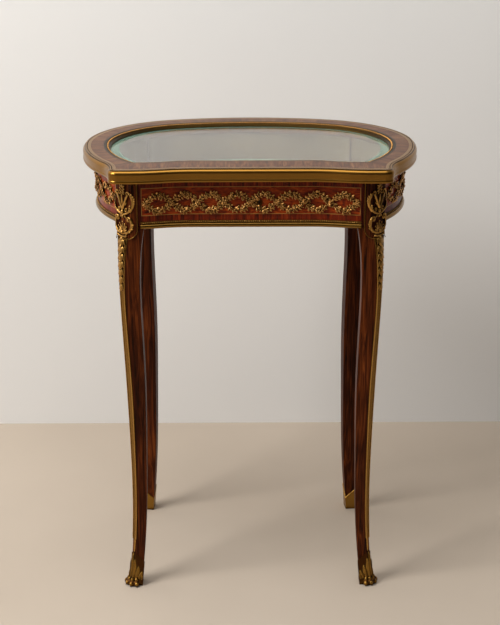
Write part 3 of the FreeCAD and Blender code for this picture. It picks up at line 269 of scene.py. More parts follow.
# rosewood of the legs: dark red-brown with streaks that run down the leg
def leg_veneer():
    """Streaks down the leg, shaded by wider clouds."""
    material, tree, shader = new_material("rosewood_legs", 0.46)
    shader.inputs["Specular IOR Level"].default_value = 0.08
    place = add(tree, "TexCoord").outputs["Object"]
    streaks = figure(tree, place, (170.0, 170.0, 7.0), warp=1.2)
    wide = figure(tree, place, (26.0, 26.0, 3.0), warp=0.8, detail=3.0)
    pores = figure(tree, place, (1400.0, 1400.0, 60.0), warp=0.0, detail=2.0)
    dark = ramp(tree, streaks, (0.34, "240D04"), (0.5, "552409"), (0.68, "8A451A"))
    shade = ramp(tree, wide, (0.3, "5A443A"), (0.75, "FFFFFF"))
    tree.links.new(blend(tree, 0.8, dark, shade, "MULTIPLY"), shader.inputs["Base Color"])
    open_pores(tree, shader, pores)
    return material


rosewood = leg_veneer()

# %% [markdown]
# ## Rails
# Each rail has a field of orange-red kingwood, a thin light string round it, and a darker crossband
# outside the string whose grain stands upright. The distance to the field's rectangle, worked out
# with a few Math nodes, says which of the three a point belongs to.

# %% rail veneer
STRING_HIGH = 13.4 * MM
STRING_LOW_RISE = 20.3 * MM
STRING_WIDTH = 1.1 * MM
FIELD_MARGIN = 3.0 * MM


def rail_veneer(side):
    """Field, string and crossband of one side's rail."""
    low, high = map(Vector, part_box(side + "_rail"))
    ends = [Vector(corner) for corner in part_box(side + "_garland")]
    axis = "X" if side in ("front", "back") else "Y"
    along = 0 if axis == "X" else 1
    middle = (ends[0][along] + ends[1][along]) / 2
    half = (ends[1][along] - ends[0][along]) / 2 + FIELD_MARGIN
    field_low, field_high = low.z + STRING_LOW_RISE, high.z - STRING_HIGH
    material, tree, shader = new_material("kingwood_" + side + "_rail", 0.34, coat=0.14, coat_rough=0.1)
    shader.inputs["Specular IOR Level"].default_value = 0.1
    place = add(tree, "TexCoord").outputs["Object"]
    split = add(tree, "SeparateXYZ", {"Vector": place})
    off_side = calc(tree, "ABSOLUTE", calc(tree, "SUBTRACT", split.outputs[axis], middle))
    off_side = calc(tree, "SUBTRACT", off_side, half)
    field_middle = (field_low + field_high) / 2
    off_level = calc(tree, "ABSOLUTE", calc(tree, "SUBTRACT", split.outputs["Z"], field_middle))
    off_level = calc(tree, "SUBTRACT", off_level, (field_high - field_low) / 2)
    outside = calc(tree, "MAXIMUM", off_side, off_level)
    flame = figure(tree, place, (38.0, 38.0, 150.0), warp=1.6)
    field = ramp(tree, flame, (0.3, "3C1004"), (0.46, "822A06"), (0.6, "AC440D"), (0.74, "CC661E"))
    upright = figure(tree, place, (240.0, 240.0, 26.0), warp=0.7)
    band = ramp(tree, upright, (0.32, "2C0B02"), (0.52, "6E1F05"), (0.72, "A23E0E"))
    wood = blend(tree, calc(tree, "GREATER_THAN", outside, 0.0), field, band)
    near_string = calc(tree, "LESS_THAN", calc(tree, "ABSOLUTE", outside), STRING_WIDTH / 2)
    colour = blend(tree, near_string, wood, "A8783C")
    tree.links.new(colour, shader.inputs["Base Color"])
    open_pores(tree, shader, figure(tree, place, (500.0, 500.0, 1400.0), warp=0.0, detail=2.0))
    return material


# %% [markdown]
# ## Lid veneer
# The lid is crossbanded: the grain runs from the rim to the opening, so on the round members it
# fans out like spokes. Polar coordinates round the arc's centre turn the pattern with the curve.
# Dark joints part the short pieces that such a band is cut from.

# %% lid veneer
# round members: the reach at which the grain has its true width, near the rim's outer edge
ROUND_REACH = 0.27
JOINT_WIDTH = 0.7 * MM


def lid_veneer(side, centre, joint_step, seed):
    """Crossbanded veneer round a centre in plan; joint_step is the angle between joints."""
    material, tree, shader = new_material("kingwood_lid_" + side, 0.42, coat=0.14, coat_rough=0.2)
    shader.inputs["Specular IOR Level"].default_value = 0.15
    place = add(tree, "TexCoord").outputs["Object"]
    shifted = add(tree, "Mapping", {"Vector": place, "Location": (-centre[0], -centre[1], 0)})
    split = add(tree, "SeparateXYZ", {"Vector": shifted.outputs["Vector"]})
    x, y = split.outputs["X"], split.outputs["Y"]
    angle = calc(tree, "ARCTAN2", y, x)
    squares = calc(tree, "ADD", calc(tree, "MULTIPLY", x, x), calc(tree, "MULTIPLY", y, y))
    reach = calc(tree, "SQRT", squares)
    radius = ROUND_REACH if abs(centre[1]) < 1 else abs(centre[1])
    joints = calc(tree, "ADD", calc(tree, "DIVIDE", angle, joint_step), seed)
    piece = calc(tree, "FLOOR", joints)
    grain = add(tree, "CombineXYZ", {"X": calc(tree, "MULTIPLY", angle, radius), "Y": reach,
                                     "Z": calc(tree, "MULTIPLY", piece, 0.37)})
    streaks = figure(tree, grain.outputs["Vector"], (260.0, 22.0, 9.0), warp=0.9)
    wide = figure(tree, grain.outputs["Vector"], (40.0, 12.0, 9.0), warp=0.5, detail=2.0)
    wood = ramp(tree, streaks, (0.3, "321B0E"), (0.5, "674128"), (0.72, "936B43"))
    tint = ramp(tree, wide, (0.32, "B08A7C"), (0.7, "FFFFFF"))
    tone = blend(tree, 0.75, wood, tint, "MULTIPLY")
    seam = calc(tree, "PINGPONG", joints, 0.5)
    dark = calc(tree, "LESS_THAN", seam, JOINT_WIDTH / 2 / radius / joint_step)
    tree.links.new(blend(tree, dark, tone, "2A120B"), shader.inputs["Base Color"])
    pores = figure(tree, grain.outputs["Vector"], (1500.0, 120.0, 9.0), warp=0.0, detail=2.0)
    open_pores(tree, shader, pores)
    return material


# %% [markdown]
# ## Glass, velvet and bare wood
# The glass is clear with a faint green, which shows where the ground bevel bends the light on a
# long way, and a thin haze, which lights the bevel and a band along the pane's front edge. Its
# shadow is let through: a path tracer without caustics would leave the case dark.
# Velvet is a soft taupe pile with sheen, and the bottom board and its blocks are bare oak.

# %% glass
# the hazy band reaches this far behind the front member, and fades over its last part
GLASS_BAND = 29 * MM
BAND_FADE = 6 * MM
BAND_HAZE = 0.2
# its back line comes forward to both sides, by this much times the square of x
EDGE_SAG = 0.9
# the upright share of the surface normal: on the flat face, and on the sloping bevel
FLAT_FACE = 0.9999
BEVEL_FACE = 0.9985
BEVEL_HAZE = 0.17
# the band is measured from a line 4 mm behind the front member's rearmost point
opening_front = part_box("lid_frame_front")[1][1] + 4 * MM


def clear_glass():
    """Clear glass that turns green and hazy on its bevel, with a pale band in front."""
    material, tree, shader = new_material("bevelled_glass", 0.0)
    shader.inputs["Transmission Weight"].default_value = 1.0
    shader.inputs["IOR"].default_value = 1.38
    surface = add(tree, "TexCoord")
    level = add(tree, "SeparateXYZ", {"Vector": surface.outputs["Normal"]})
    tilt = calc(tree, "ABSOLUTE", level.outputs["Z"])
    green = ramp(tree, tilt, (0.9, "8FD6B6"), (BEVEL_FACE, "A8E0C6"), (FLAT_FACE, "FBFDFC"))
    tree.links.new(green, shader.inputs["Base Color"])
    ground = add(tree, "BsdfDiffuse", {"Color": linear("A9D6C0")})
    place = add(tree, "SeparateXYZ", {"Vector": surface.outputs["Object"]})
    square = calc(tree, "MULTIPLY", place.outputs["X"], place.outputs["X"])
    sag = calc(tree, "MULTIPLY", square, EDGE_SAG)
    depth = calc(tree, "ADD", calc(tree, "SUBTRACT", place.outputs["Y"], opening_front), sag)
    near = add(tree, "MapRange", {"Value": depth, "From Min": GLASS_BAND,
                                  "From Max": GLASS_BAND - BAND_FADE,
                                  "To Min": 0.0, "To Max": BAND_HAZE})
    slope = add(tree, "MapRange", {"Value": tilt, "From Min": FLAT_FACE, "From Max": BEVEL_FACE,
                                   "To Min": 0.0, "To Max": BEVEL_HAZE})
    haze = calc(tree, "MAXIMUM", near.outputs["Result"], slope.outputs["Result"])
    body = add(tree, "MixShader", {0: haze, 1: shader.outputs[0], 2: ground.outputs[0]})
    path = add(tree, "LightPath")
    clear = add(tree, "BsdfTransparent", {"Color": linear("EAF6F0")})
    mix = add(tree, "MixShader", {0: path.outputs["Is Shadow Ray"], 1: body.outputs[0],
                                  2: clear.outputs[0]})
    tree.links.new(mix.outputs[0], tree.nodes["Material Output"].inputs["Surface"])
    return material


# %% velvet
# how much of the colour's change is the single tufts'; the rest is the way the pile is brushed
PILE_SHARE = 0.12


def velvet_cloth(name, light, dark):
    """A soft pile: brushed lighter and darker in wide clouds, with sheen at its edges."""
    material, tree, shader = new_material(name, 0.9)
    place = add(tree, "TexCoord").outputs["Object"]
    shader.inputs["Sheen Weight"].default_value = 0.6
    shader.inputs["Sheen Roughness"].default_value = 0.4
    shader.inputs["Specular IOR Level"].default_value = 0.2
    brushed = add(tree, "TexNoise", {"Vector": place, "Scale": 14.0, "Detail": 4.0, "Roughness": 0.6})
    pile = add(tree, "TexNoise", {"Vector": place, "Scale": 1500.0, "Detail": 2.0})
    wide = calc(tree, "MULTIPLY", brushed.outputs["Fac"], 1 - PILE_SHARE)
    both = calc(tree, "MULTIPLY_ADD", pile.outputs["Fac"], PILE_SHARE, wide)
    tree.links.new(ramp(tree, both, (0.35, dark), (0.62, light)), shader.inputs["Base Color"])
    bump(tree, shader, pile.outputs["Fac"], 0.0002, 0.2)
    return material


# %% bare oak
def bare_oak():
    """Unpolished oak, its grain and open pores along the board."""
    material, tree, shader = new_material("bare_oak", 0.62)
    place = add(tree, "TexCoord").outputs["Object"]
    rings = figure(tree, place, (14.0, 190.0, 60.0), warp=0.8)
    pores = figure(tree, place, (60.0, 1400.0, 900.0), warp=0.0, detail=2.0)
    wood = ramp(tree, rings, (0.3, "6E4D2C"), (0.55, "8E6A42"), (0.75, "A98458"))
    tree.links.new(wood, shader.inputs["Base Color"])
    bump(tree, shader, pores, 0.0002, 0.5)
    return material


taupe_velvet = velvet_cloth("taupe_velvet", "705D45", "594935")
oak = bare_oak()

# %% [markdown]
# ## Finishes of the imported pieces
# The imported pieces keep their shapes and get their finish here, by how their names end. Members of
# the lid are told apart, because their grain turns round different centres. The back shoes have the
# toes' lighter bronze, and the front ones the brown, which paints the shade on their faces.

# %% finishes
# centres in plan, in metres: the front's lies far off, so its grain runs nearly straight back
ARC_CENTRES = {"front": (0.0, -6.0), "right": (0.019, -0.002),
               "left": (-0.019, -0.002), "back": (0.0, -0.35)}
# angles between joints: far apart in angle where the centre is near
JOINT_STEPS = {"front": 0.0165, "right": 0.42, "left": 0.42, "back": 0.2}
JOINT_SHIFT = 0.35
FINISHES = {
    "_filet": moulding_bronze,
    "_base_moulding": moulding_bronze,
    "lid_rim": rim_bronze,
    "back_left_sabot": foot_bronze,
    "back_right_sabot": foot_bronze,
    "_sabot": shoe_bronze,
    "_leg": rosewood,
    "lid_inner_moulding": inner_brass,
    "glass_pane": clear_glass(),
    "bottom_board": oak,
    "glue_blocks": oak,
    "lock_case": lock_steel,
    "lock_bolt": lock_steel,
    "strike_plate": hardware_brass,
    "_leaf": hardware_brass,
    "_pin": hardware_brass,
    "_screws": hardware_brass,
    "keyhole_escutcheon": shoe_bronze,
}
for side in ("front", "right", "back", "left"):
    FINISHES[side + "_rail"] = rail_veneer(side)
    FINISHES["lid_frame_" + side] = lid_veneer(side, ARC_CENTRES[side], JOINT_STEPS[side], JOINT_SHIFT)
for name, node in nodes.items():
    finish = next((FINISHES[ending] for ending in FINISHES if name.endswith(ending)), None)
    if finish:
        node.data.materials.clear()
        node.data.materials.append(finish)
print("finished:", len(FINISHES), "finishes")


# %% [markdown]
# ## Shapes of cast bronze
# Every mount is built from the same few chased forms: round strands, pointed leaves and beads. The
# strands are curves with a round section, made into a mesh, because a curve bends smoothly through
# a handful of points. A leaf is a small sphere pulled out to a point, and a bead is a smaller one:
# hundreds of them repeat, so each has only a few dozen faces.
# Sizes are in millimetres while a mount is modelled flat: x across, z up and -y out of the wood.

# %% strands, leaves and beads
OUT = Vector((0, -1, 0))


def strand(shape, points, start_radius, end_radius, kind="NURBS"):
    """A round strand through or near the points, thinning from its start to its end."""
    curve = bpy.data.curves.new("strand", "CURVE")
    curve.dimensions = "3D"
    curve.bevel_depth = 1.0
    curve.bevel_resolution = 1
    curve.use_fill_caps = True
    spline = curve.splines.new(kind)
    spline.points.add(len(points) - 1)
    for number, place in enumerate(points):
        share = number / (len(points) - 1)
        spline.points[number].co = (*place, 1.0)
        spline.points[number].radius = start_radius + (end_radius - start_radius) * share
    if kind == "NURBS":
        spline.order_u = 4
        spline.use_endpoint_u = True
        spline.resolution_u = 4
    holder = bpy.data.objects.new("strand", curve)
    mesh = bpy.data.meshes.new_from_object(holder)
    shape.from_mesh(mesh)
    bpy.data.objects.remove(holder)
    bpy.data.meshes.remove(mesh)
    bpy.data.curves.remove(curve)


def small_form(sides, rings, pointed):
    """A ball one unit across with few faces, drawn out to a point at its top if wanted."""
    shape = bmesh.new()
    bmesh.ops.create_uvsphere(shape, u_segments=sides, v_segments=rings, radius=0.5)
    for point in shape.verts:
        if pointed and point.co.z > 0.1:
            point.co.xy *= 0.6
    mesh = bpy.data.meshes.new("small_form")
    shape.to_mesh(mesh)
    shape.free()
    return mesh


LEAF_FORM = small_form(6, 4, True)
BEAD_FORM = small_form(8, 5, False)
BERRY_FORM = small_form(6, 4, False)


def stamp(shape, form, matrix):
    """Adds one more copy of a small form to a shape, placed by the matrix."""
    copy = form.copy()
    copy.transform(matrix)
    shape.from_mesh(copy)
    bpy.data.meshes.remove(copy)


def leaf(shape, base, tip, width, thick):
    """A pointed leaf from base to tip, as wide across the surface as given."""
    along = tip - base
    upright = along.normalized()
    across = upright.cross(OUT).normalized()
    turn = Matrix((across, upright.cross(across), upright)).transposed().to_4x4()
    stretch = Matrix.Diagonal((width, thick, along.length, 1))
    stamp(shape, LEAF_FORM, Matrix.Translation((base + tip) / 2) @ turn @ stretch)


def bead(shape, place, radius, height=1.0, form=BEAD_FORM):
    """A round bead; height stretches it upright."""
    stretch = Matrix.Diagonal((2 * radius, 2 * radius, 2 * radius * height, 1))
    stamp(shape, form, Matrix.Translation(place) @ stretch)


def scroll(x, z, radius, start, turns, hand, depth, steps=14):
    """Points of a spiral that curls inwards round (x, z)."""
    points = []
    for number in range(steps + 1):
        share = number / steps
        reach = radius * (1 - 0.78 * share)
        angle = start + turns * 2 * math.pi * share
        points.append(Vector((x + hand * reach * math.cos(angle), -depth, z + reach * math.sin(angle))))
    return points


def finish_piece(shape, name, material, body="table", stands_for=()):
    """Closes a bmesh into a named piece that rides on its body."""
    bmesh.ops.recalc_face_normals(shape, faces=shape.faces)
    mesh = bpy.data.meshes.new(name)
    shape.to_mesh(mesh)
    shape.free()
    mesh.shade_smooth()
    mesh.materials.append(material)
    piece = bpy.data.objects.new(name, mesh)
    bpy.context.scene.collection.objects.link(piece)
    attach(piece, body)
    if stands_for:
        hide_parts(*stands_for)
    return piece


# %% [markdown]
# ## Laying a mount on its wood
# A founder bends a flat wax model round the wooden form. Here every point of the flat model finds
# the wood straight behind it with a ray, and keeps its own height above that spot.

# %% seats on the wood
def solid_tree(*names, shift=Matrix()):
    """A searchable copy of CAD nodes, for rays."""
    shape = bmesh.new()
    for name in names:
        shape.from_mesh(nodes[name].data)
    bmesh.ops.transform(shape, matrix=shift, verts=shape.verts)
    tree = BVHTree.FromBMesh(shape)
    shape.free()
    return tree


def wall_seat(node, ahead, level):
    """Seat on an upright wall, seen by someone who looks along ahead: x is to their right."""
    tree = solid_tree(node)
    right = ahead.cross(UP)

    def seat(x, z):
        hit, normal = tree.ray_cast(right * x - ahead + UP * level, ahead)[:2]
        if normal.dot(ahead) > 0:
            normal = -normal
        return hit + UP * (z - level), normal
    return seat


def ways_round(count):
    """Level directions at equal angles, once round."""
    angles = [math.tau * number / count for number in range(count)]
    return [Vector((math.cos(angle), math.sin(angle), 0)) for angle in angles]


def drape(shape, seat):
    """Turns a flat model in millimetres into metres on its seat."""
    for point in shape.verts:
        place, normal = seat(point.co.x * MM, point.co.z * MM)
        point.co = place - normal * (point.co.y * MM)


WALLS = {
    "front": Vector((0, 1, 0)),
    "right": Vector((-1, 0, 0)),
    "back": Vector((0, -1, 0)),
    "left": Vector((1, 0, 0)),
}
rail_low, rail_high = (corner.z for corner in map(Vector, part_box("front_rail")))
# the level at which rays meet the rails, whose faces are upright
PLAIN_LEVEL = rail_high - 8 * MM
seats = {}
for side, ahead in WALLS.items():
    seats[side] = wall_seat(side + "_rail", ahead, PLAIN_LEVEL)
print("rails from", round(rail_low, 4), "to", round(rail_high, 4))

# %% [markdown]
# ## Garlands
# Two laurel branches wind round each other along every rail and cross once a loop. Each branch is
# a sine wave, so that one formula gives the stem, the way it heads at every leaf and where it
# dips under the other. Leaves sit in pairs, and those on the outside of a loop are longer.

# %% garland of two branches
LOOP = 44.0
BRANCH_SWING = 14.0
STEM_RADIUS = 1.1
LEAVES_A_LOOP = 9
rng = random.Random(7)


def branch_point(x, hand):
    """A branch's middle line; it lies over the other one at every second crossing."""
    turn = math.pi * x / LOOP
    return Vector((x, -1.5 - 0.6 * hand * math.cos(turn), hand * BRANCH_SWING * math.sin(turn)))


def blossom(shape, middle, reach, petals=5):
    """Open petals round a raised eye."""
    start = rng.uniform(0, 1)
    for number in range(petals):
        angle = math.tau * (number + start) / petals
        tip = middle + Vector((reach * math.cos(angle), -1.0, reach * math.sin(angle)))
        leaf(shape, middle, tip, reach * 0.75, 1.8)
    bead(shape, middle + Vector((0, -1.3, 0)), reach * 0.36, form=BERRY_FORM)


def garland_shape(loops):
    """Both branches with their leaves, berries and blossoms, flat, with the middle at x = 0."""
    shape = bmesh.new()
    for hand in (1, -1):
        points = [branch_point(LOOP * number / 8, hand) for number in range(loops * 8 + 1)]
        strand(shape, points, STEM_RADIUS, STEM_RADIUS, "POLY")
        for number in range(loops * LEAVES_A_LOOP + 1):
            x = LOOP * (number + rng.uniform(-0.2, 0.2)) / LEAVES_A_LOOP
            x = min(max(x, 0.5), loops * LOOP - 0.5)
            root = branch_point(x, hand)
            heading = branch_point(x + 0.5, hand) - branch_point(x - 0.5, hand)
            angle = math.atan2(heading.z, heading.x)
            for way in (1, -1):
                length = rng.uniform(6.2, 8.2) if way * root.z > 0 else rng.uniform(6.8, 9.2)
                for lean, share, wide in ((rng.uniform(52, 90), 1.0, 4.8), (rng.uniform(12, 44), 0.9, 4.2)):
                    turn = angle + way * math.radians(lean)
                    reach = length * share
                    rise = -rng.uniform(-0.6, 3.6)
                    tip = root + Vector((reach * math.cos(turn), rise, reach * math.sin(turn)))
                    leaf(shape, root, tip, wide * rng.uniform(0.75, 1.2), 2.6)
            if number % 4 == 1:
                blossom(shape, root + Vector((0, -2.2, rng.uniform(-1.5, 1.5))), rng.uniform(3.4, 4.4))
            if number % 4 == 3:
                for berry in range(3):
                    off = Vector((rng.uniform(-2.4, 2.4), -2.4, rng.uniform(-2.4, 2.4)))
                    bead(shape, root + off, 1.3, form=BERRY_FORM)
    for crossing in range(loops + 1):
        blossom(shape, Vector((crossing * LOOP, -3.0, 0)), 5.0, petals=6)
    bmesh.ops.translate(shape, verts=shape.verts, vec=(-loops * LOOP / 2, 0, 0))
    return shape


GARLAND_LOOPS = {"front": 8, "right": 5, "back": 6, "left": 5}
for side, loops in GARLAND_LOOPS.items():
    low, high = map(Vector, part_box(side + "_garland"))
    right = WALLS[side].cross(UP)
    middle = (low + high) / 2
    shape = garland_shape(loops)
    bmesh.ops.translate(shape, verts=shape.verts, vec=(middle.dot(right) / MM, 0, middle.z / MM))
    drape(shape, seats[side])
    piece = finish_piece(shape, side + "_laurel_garland", garland_bronze, stands_for=[side + "_garland"])
    print(piece.name, len(piece.data.polygons), "faces")

# %% [markdown]
# ## Pearl rows
# A row of pearls stands on the fillet over each base moulding. The pearls are set at equal steps
# along the wood's face, so the walk measures the curved way and not the straight one.

# %% pearls along the rails
PEARL_STEP = 3.6
PEARL_RADIUS = 1.15
PEARL_STAND = 1.3
PEARL_DROP = 1.8
END_MARGINS = {"front": 4, "right": 12, "back": 12, "left": 12}


def walk(seat, start, end, step):
    """Places and outward ways at equal steps along a seat, from start to end, in metres."""
    fine = 0.5 * MM
    last, normal = seat(start, 0)
    found, gone = [(last, normal)], 0.0
    for number in range(1, int((end - start) / fine)):
        place, normal = seat(start + number * fine, 0)
        gone += (place - last).length
        last = place
        if gone >= step:
            gone -= step
            found.append((place, normal))
    return found


for side, seat in seats.items():
    low, high = map(Vector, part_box(side + "_base_moulding"))
    right = WALLS[side].cross(UP)
    ends = sorted((low.dot(right), high.dot(right)))
    margin = END_MARGINS[side] * MM
    shape = bmesh.new()
    for place, normal in walk(seat, ends[0] + margin, ends[1] - margin, PEARL_STEP * MM):
        centre = place + normal * PEARL_STAND * MM
        centre.z = high.z - PEARL_DROP * MM
        bead(shape, centre, PEARL_RADIUS * MM)
    finish_piece(shape, side + "_pearl_row", bronze)

# %% [markdown]
# ## Beads of the lid's inner moulding
# The moulding that holds the glass slopes down to it, and carries the same small beads. Rays from
# the middle of the opening find the slope all the way round.

# %% beads round the glass
BEAD_STEP = 4.6
BEAD_RADIUS = 1.7
BEAD_DROP = 1.8
BEAD_STAND = 0.6
lid_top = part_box("lid_inner_moulding")[1][2]
bead_level = lid_top - BEAD_DROP * MM
slope_tree = solid_tree("lid_inner_moulding")
shape = bmesh.new()
heart = Vector((0, 0, bead_level))
last, gone = None, 0.0
for way in ways_round(6000):
    hit = slope_tree.ray_cast(heart, way)[0]
    gone += (hit - last).length if last else BEAD_STEP * MM
    last = hit
    if gone >= BEAD_STEP * MM:
        gone -= BEAD_STEP * MM
        bead(shape, hit - way * BEAD_STAND * MM, BEAD_RADIUS * MM)
finish_piece(shape, "lid_bead_row", garland_bronze, body="lid")

# %% [markdown]
# ## A leg's own frame
# Chute, bellflowers, edgings and paw repeat on four legs, so they are modelled once on the front
# left leg. Its block's outer corner is the origin there; a turn and a shift take it to each leg.

# %% leg frames
# a paw's middle lies this far in from both faces of its block
PAW_MIDDLE = 16.4 * MM
# the way each canted corner points in plan, in degrees
LEG_BEARINGS = {"front_left": 225.0, "front_right": 315.0, "back_right": 51.0, "back_left": 129.0}
leg_places = {}
for mount in frame["record"]["mounts"]:
    name = mount["name"].removeprefix("floor_")
    turn = Matrix.Rotation(math.radians(LEG_BEARINGS[name] - 225.0), 4, "Z")
    corner = Vector(mount["pos_m"]) - turn @ Vector((PAW_MIDDLE, PAW_MIDDLE, 0))
    leg_places[name] = Matrix.Translation(corner) @ turn
own_frame = leg_places["front_left"].inverted()
leg_tree = solid_tree("front_left_leg", "front_left_filet", shift=own_frame)
wood_tree = solid_tree("front_left_leg", shift=own_frame)
DIAGONAL = Vector((-1, -1, 0)).normalized()
ACROSS = Vector((1, -1, 0)).normalized()
RAY_START = DIAGONAL * 0.1


def arris_seat(tree):
    """Seat on the leg seen along its diagonal: x runs across the canted arris."""
    def seat(x, z):
        hit = None
        while hit is None:
            hit = tree.ray_cast(ACROSS * x + RAY_START + UP * z, -DIAGONAL)[0]
            # a ray beside the leg is drawn in until it meets the wood
            x *= 0.97
        return hit, DIAGONAL
    return seat


def on_each_leg(shape, name, stands_for=None, material=bronze):
    """Four copies of a shape in the leg's own frame."""
    for corner, place in leg_places.items():
        copy = shape.copy()
        bmesh.ops.transform(copy, matrix=place, verts=copy.verts)
        replaced = [corner + "_" + stands_for] if stands_for else []
        finish_piece(copy, corner + "_" + name, material, stands_for=replaced)
    shape.free()


# %% [markdown]
# ## Chutes
# The chute over a block's corner is cast as open scrollwork. From its foot up it has a collar, a
# shell in a U-shaped frame with two volutes, a bell, a tulip between two beaded C-scrolls, and a
# sprig with berries. It is modelled flat, each scroll from a few points, then laid on the corner.

# %% chute
def flat(*pairs, depth=1.5):
    """Points of a flat model from x, z pairs."""
    return [Vector((x, -depth, z)) for x, z in pairs]


def chute_shape():
    """The flat chute in millimetres, its foot at z = 0; both hands are made in one loop."""
    shape = bmesh.new()
    strand(shape, flat((-11.6, 4.4), (-6, 2.0), (0, 1.4), (6, 2.0), (11.6, 4.4), depth=1.8), 2.1, 2.1)
    strand(shape, flat((-10, 8.0), (0, 5.6), (10, 8.0), depth=1.4), 1.3, 1.3)
    for angle in (-66, -44, -22, 0, 22, 44, 66):
        lean = math.radians(angle)
        reach = 18.0 - abs(angle) / 10
        root = Vector((0, -1.8, 9.0))
        tip = root + Vector((reach * math.sin(lean), -1.6, reach * math.cos(lean)))
        leaf(shape, root, tip, 5.0, 3.0)
        bead(shape, tip + Vector((0, -0.4, 0)), 1.6, form=BERRY_FORM)
    bead(shape, Vector((0, -3.0, 9.5)), 3.2, 1.2)
    for hand in (1, -1):
        frame_line = flat((0, 7.0), (11 * hand, 8), (18.5 * hand, 14), (20.5 * hand, 23), (18 * hand, 32))
        strand(shape, frame_line, 2.6, 2.0)
        for number in range(5):
            angle = math.radians(-70 + 26 * number)
            root = Vector((hand * (4 + 15 * math.cos(angle)), -1.6, 20 + 13 * math.sin(angle)))
            reach = Vector((4.2 * hand * math.cos(angle), -2.0, 4.2 * math.sin(angle) + 2.6))
            leaf(shape, root, root + reach, 3.6, 2.2)
        strand(shape, scroll(13.2 * hand, 31.5, 5.4, 0, 1.1, hand, 2.2), 2.0, 1.1)
        bead(shape, Vector((13.2 * hand, -2.8, 31.5)), 2.2)
        leaf(shape, Vector((8 * hand, -1.8, 33)), Vector((2 * hand, -2.8, 40)), 4.2, 2.6)
        swag = flat((0, 39.5), (9 * hand, 40.5), (16 * hand, 45), (20 * hand, 52), depth=2.2)
        strand(shape, swag, 2.4, 1.8)
        for number in range(7):
            angle = math.radians(-84 + 14 * number)
            place = Vector((hand * (3 + 15.5 * math.cos(angle)), -3.2, 56 + 15.5 * math.sin(angle)))
            bead(shape, place, 1.6, form=BERRY_FORM)
        bow = flat((17 * hand, 46), (21.4 * hand, 54), (22.4 * hand, 64), (19.5 * hand, 74), (13 * hand, 78))
        strand(shape, bow, 2.0, 1.5)
        strand(shape, scroll(12.0 * hand, 75, 4.4, 0.6, 1.0, hand, 2.0), 1.6, 1.0)
        strand(shape, scroll(9.0 * hand, 48.5, 3.6, -1.2, -1.0, hand, 2.2), 1.6, 1.0)
        for number in range(7):
            share = number / 6
            root = Vector((hand * (21.5 - 3.6 * (2 * share - 1) ** 2), -1.4, 50 + 22 * share))
            leaf(shape, root, root + Vector((2.6 * hand, -1.2, 5.2)), 3.2, 2.0)
        petal = flat((0, 50), (5 * hand, 56), (6 * hand, 65), (13.5 * hand, 75), depth=2.6)
        strand(shape, petal, 3.2, 1.6)
        leaf(shape, Vector((4 * hand, -2.4, 61)), Vector((14.5 * hand, -3.6, 75.5)), 5.4, 3.0)
        leaf(shape, Vector((0, -2.0, 52)), Vector((10.5 * hand, -2.8, 61)), 4.4, 2.4)
        for level in (77, 82, 87):
            root = Vector((0, -1.6, level - 3))
            leaf(shape, root, root + Vector((6.4 * hand, -1.4, 5.4)), 3.8, 2.2)
            bead(shape, root + Vector((4.2 * hand, -1.6, 0.6)), 1.6, form=BERRY_FORM)
    leaf(shape, Vector((0, -2.4, 53)), Vector((0, -4.4, 75)), 6.0, 3.6)
    for level, radius in ((44.5, 3.4), (36.0, 2.4), (51.0, 2.4)):
        bead(shape, Vector((0, -2.8, level)), radius, 1.2)
    strand(shape, flat((0, 70), (0.6, 80), (0, 90)), 1.2, 0.9)
    leaf(shape, Vector((0, -1.8, 83)), Vector((0, -2.8, 91.5)), 4.4, 2.2)
    return shape


block_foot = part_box("front_left_chute")[0][2]
shape = chute_shape()
bmesh.ops.translate(shape, verts=shape.verts, vec=(0, 0, block_foot / MM))
drape(shape, arris_seat(wood_tree))
on_each_leg(shape, "scroll_chute", "chute")

# %% [markdown]
# ## Bellflowers
# Under the collar hangs a chain of bellflowers that grow smaller. Each has three drooping petals
# that open over the next one.

# %% bellflowers
HUSKS = 7
husk_low, husk_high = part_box("front_left_husk_drop")[0][2] / MM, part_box("front_left_husk_drop")[1][2] / MM
husk_length = (husk_high - husk_low) / HUSKS
shape = bmesh.new()
for number in range(HUSKS):
    high = husk_high - number * husk_length
    low = high - husk_length * 1.12
    wide = 9.0 - 0.6 * number
    crown = Vector((0, -1.0, high))
    for side in (-1, 1):
        leaf(shape, crown, Vector((side * wide, -1.6, low + 2.5)), wide * 0.85, 2.6)
        leaf(shape, crown, Vector((side * wide * 0.45, -3.0, low + 1)), wide * 0.8, 2.4)
    leaf(shape, crown, Vector((0, -3.6, low)), wide * 0.8, 2.2)
    bead(shape, crown + Vector((0, -1.4, -0.5)), wide * 0.3)
drape(shape, arris_seat(leg_tree))
on_each_leg(shape, "bellflowers", "husk_drop")

# %% [markdown]
# ## Edgings
# A thin bright bead runs down each side of the filet, and a short thin strand carries each on
# towards the shoe. Another bead follows the inner edge of both faces of a block, turns in a quarter
# circle under it and ends behind the collar.

# %% edgings
def edge_point(tree, x, z, proud):
    """A point on the leg at x across its diagonal, a little proud of it."""
    start = ACROSS * x + RAY_START + UP * z
    return tree.ray_cast(start, -DIAGONAL)[0] + DIAGONAL * proud


def filet_half_width(z):
    """Half the filet's width, found by stepping out until the rays miss its raised face."""
    deep = edge_point(wood_tree, 0, z, 0).dot(DIAGONAL)
    for number in range(1, 80):
        x = number * 0.1 * MM
        if edge_point(leg_tree, x, z, 0).dot(DIAGONAL) < deep + 0.3 * MM:
            return x
    return x


FILET_STEPS = 24
FILET_RADIUS = 0.8 * MM
TAIL_STEPS = 8
TAIL_LENGTH = 30
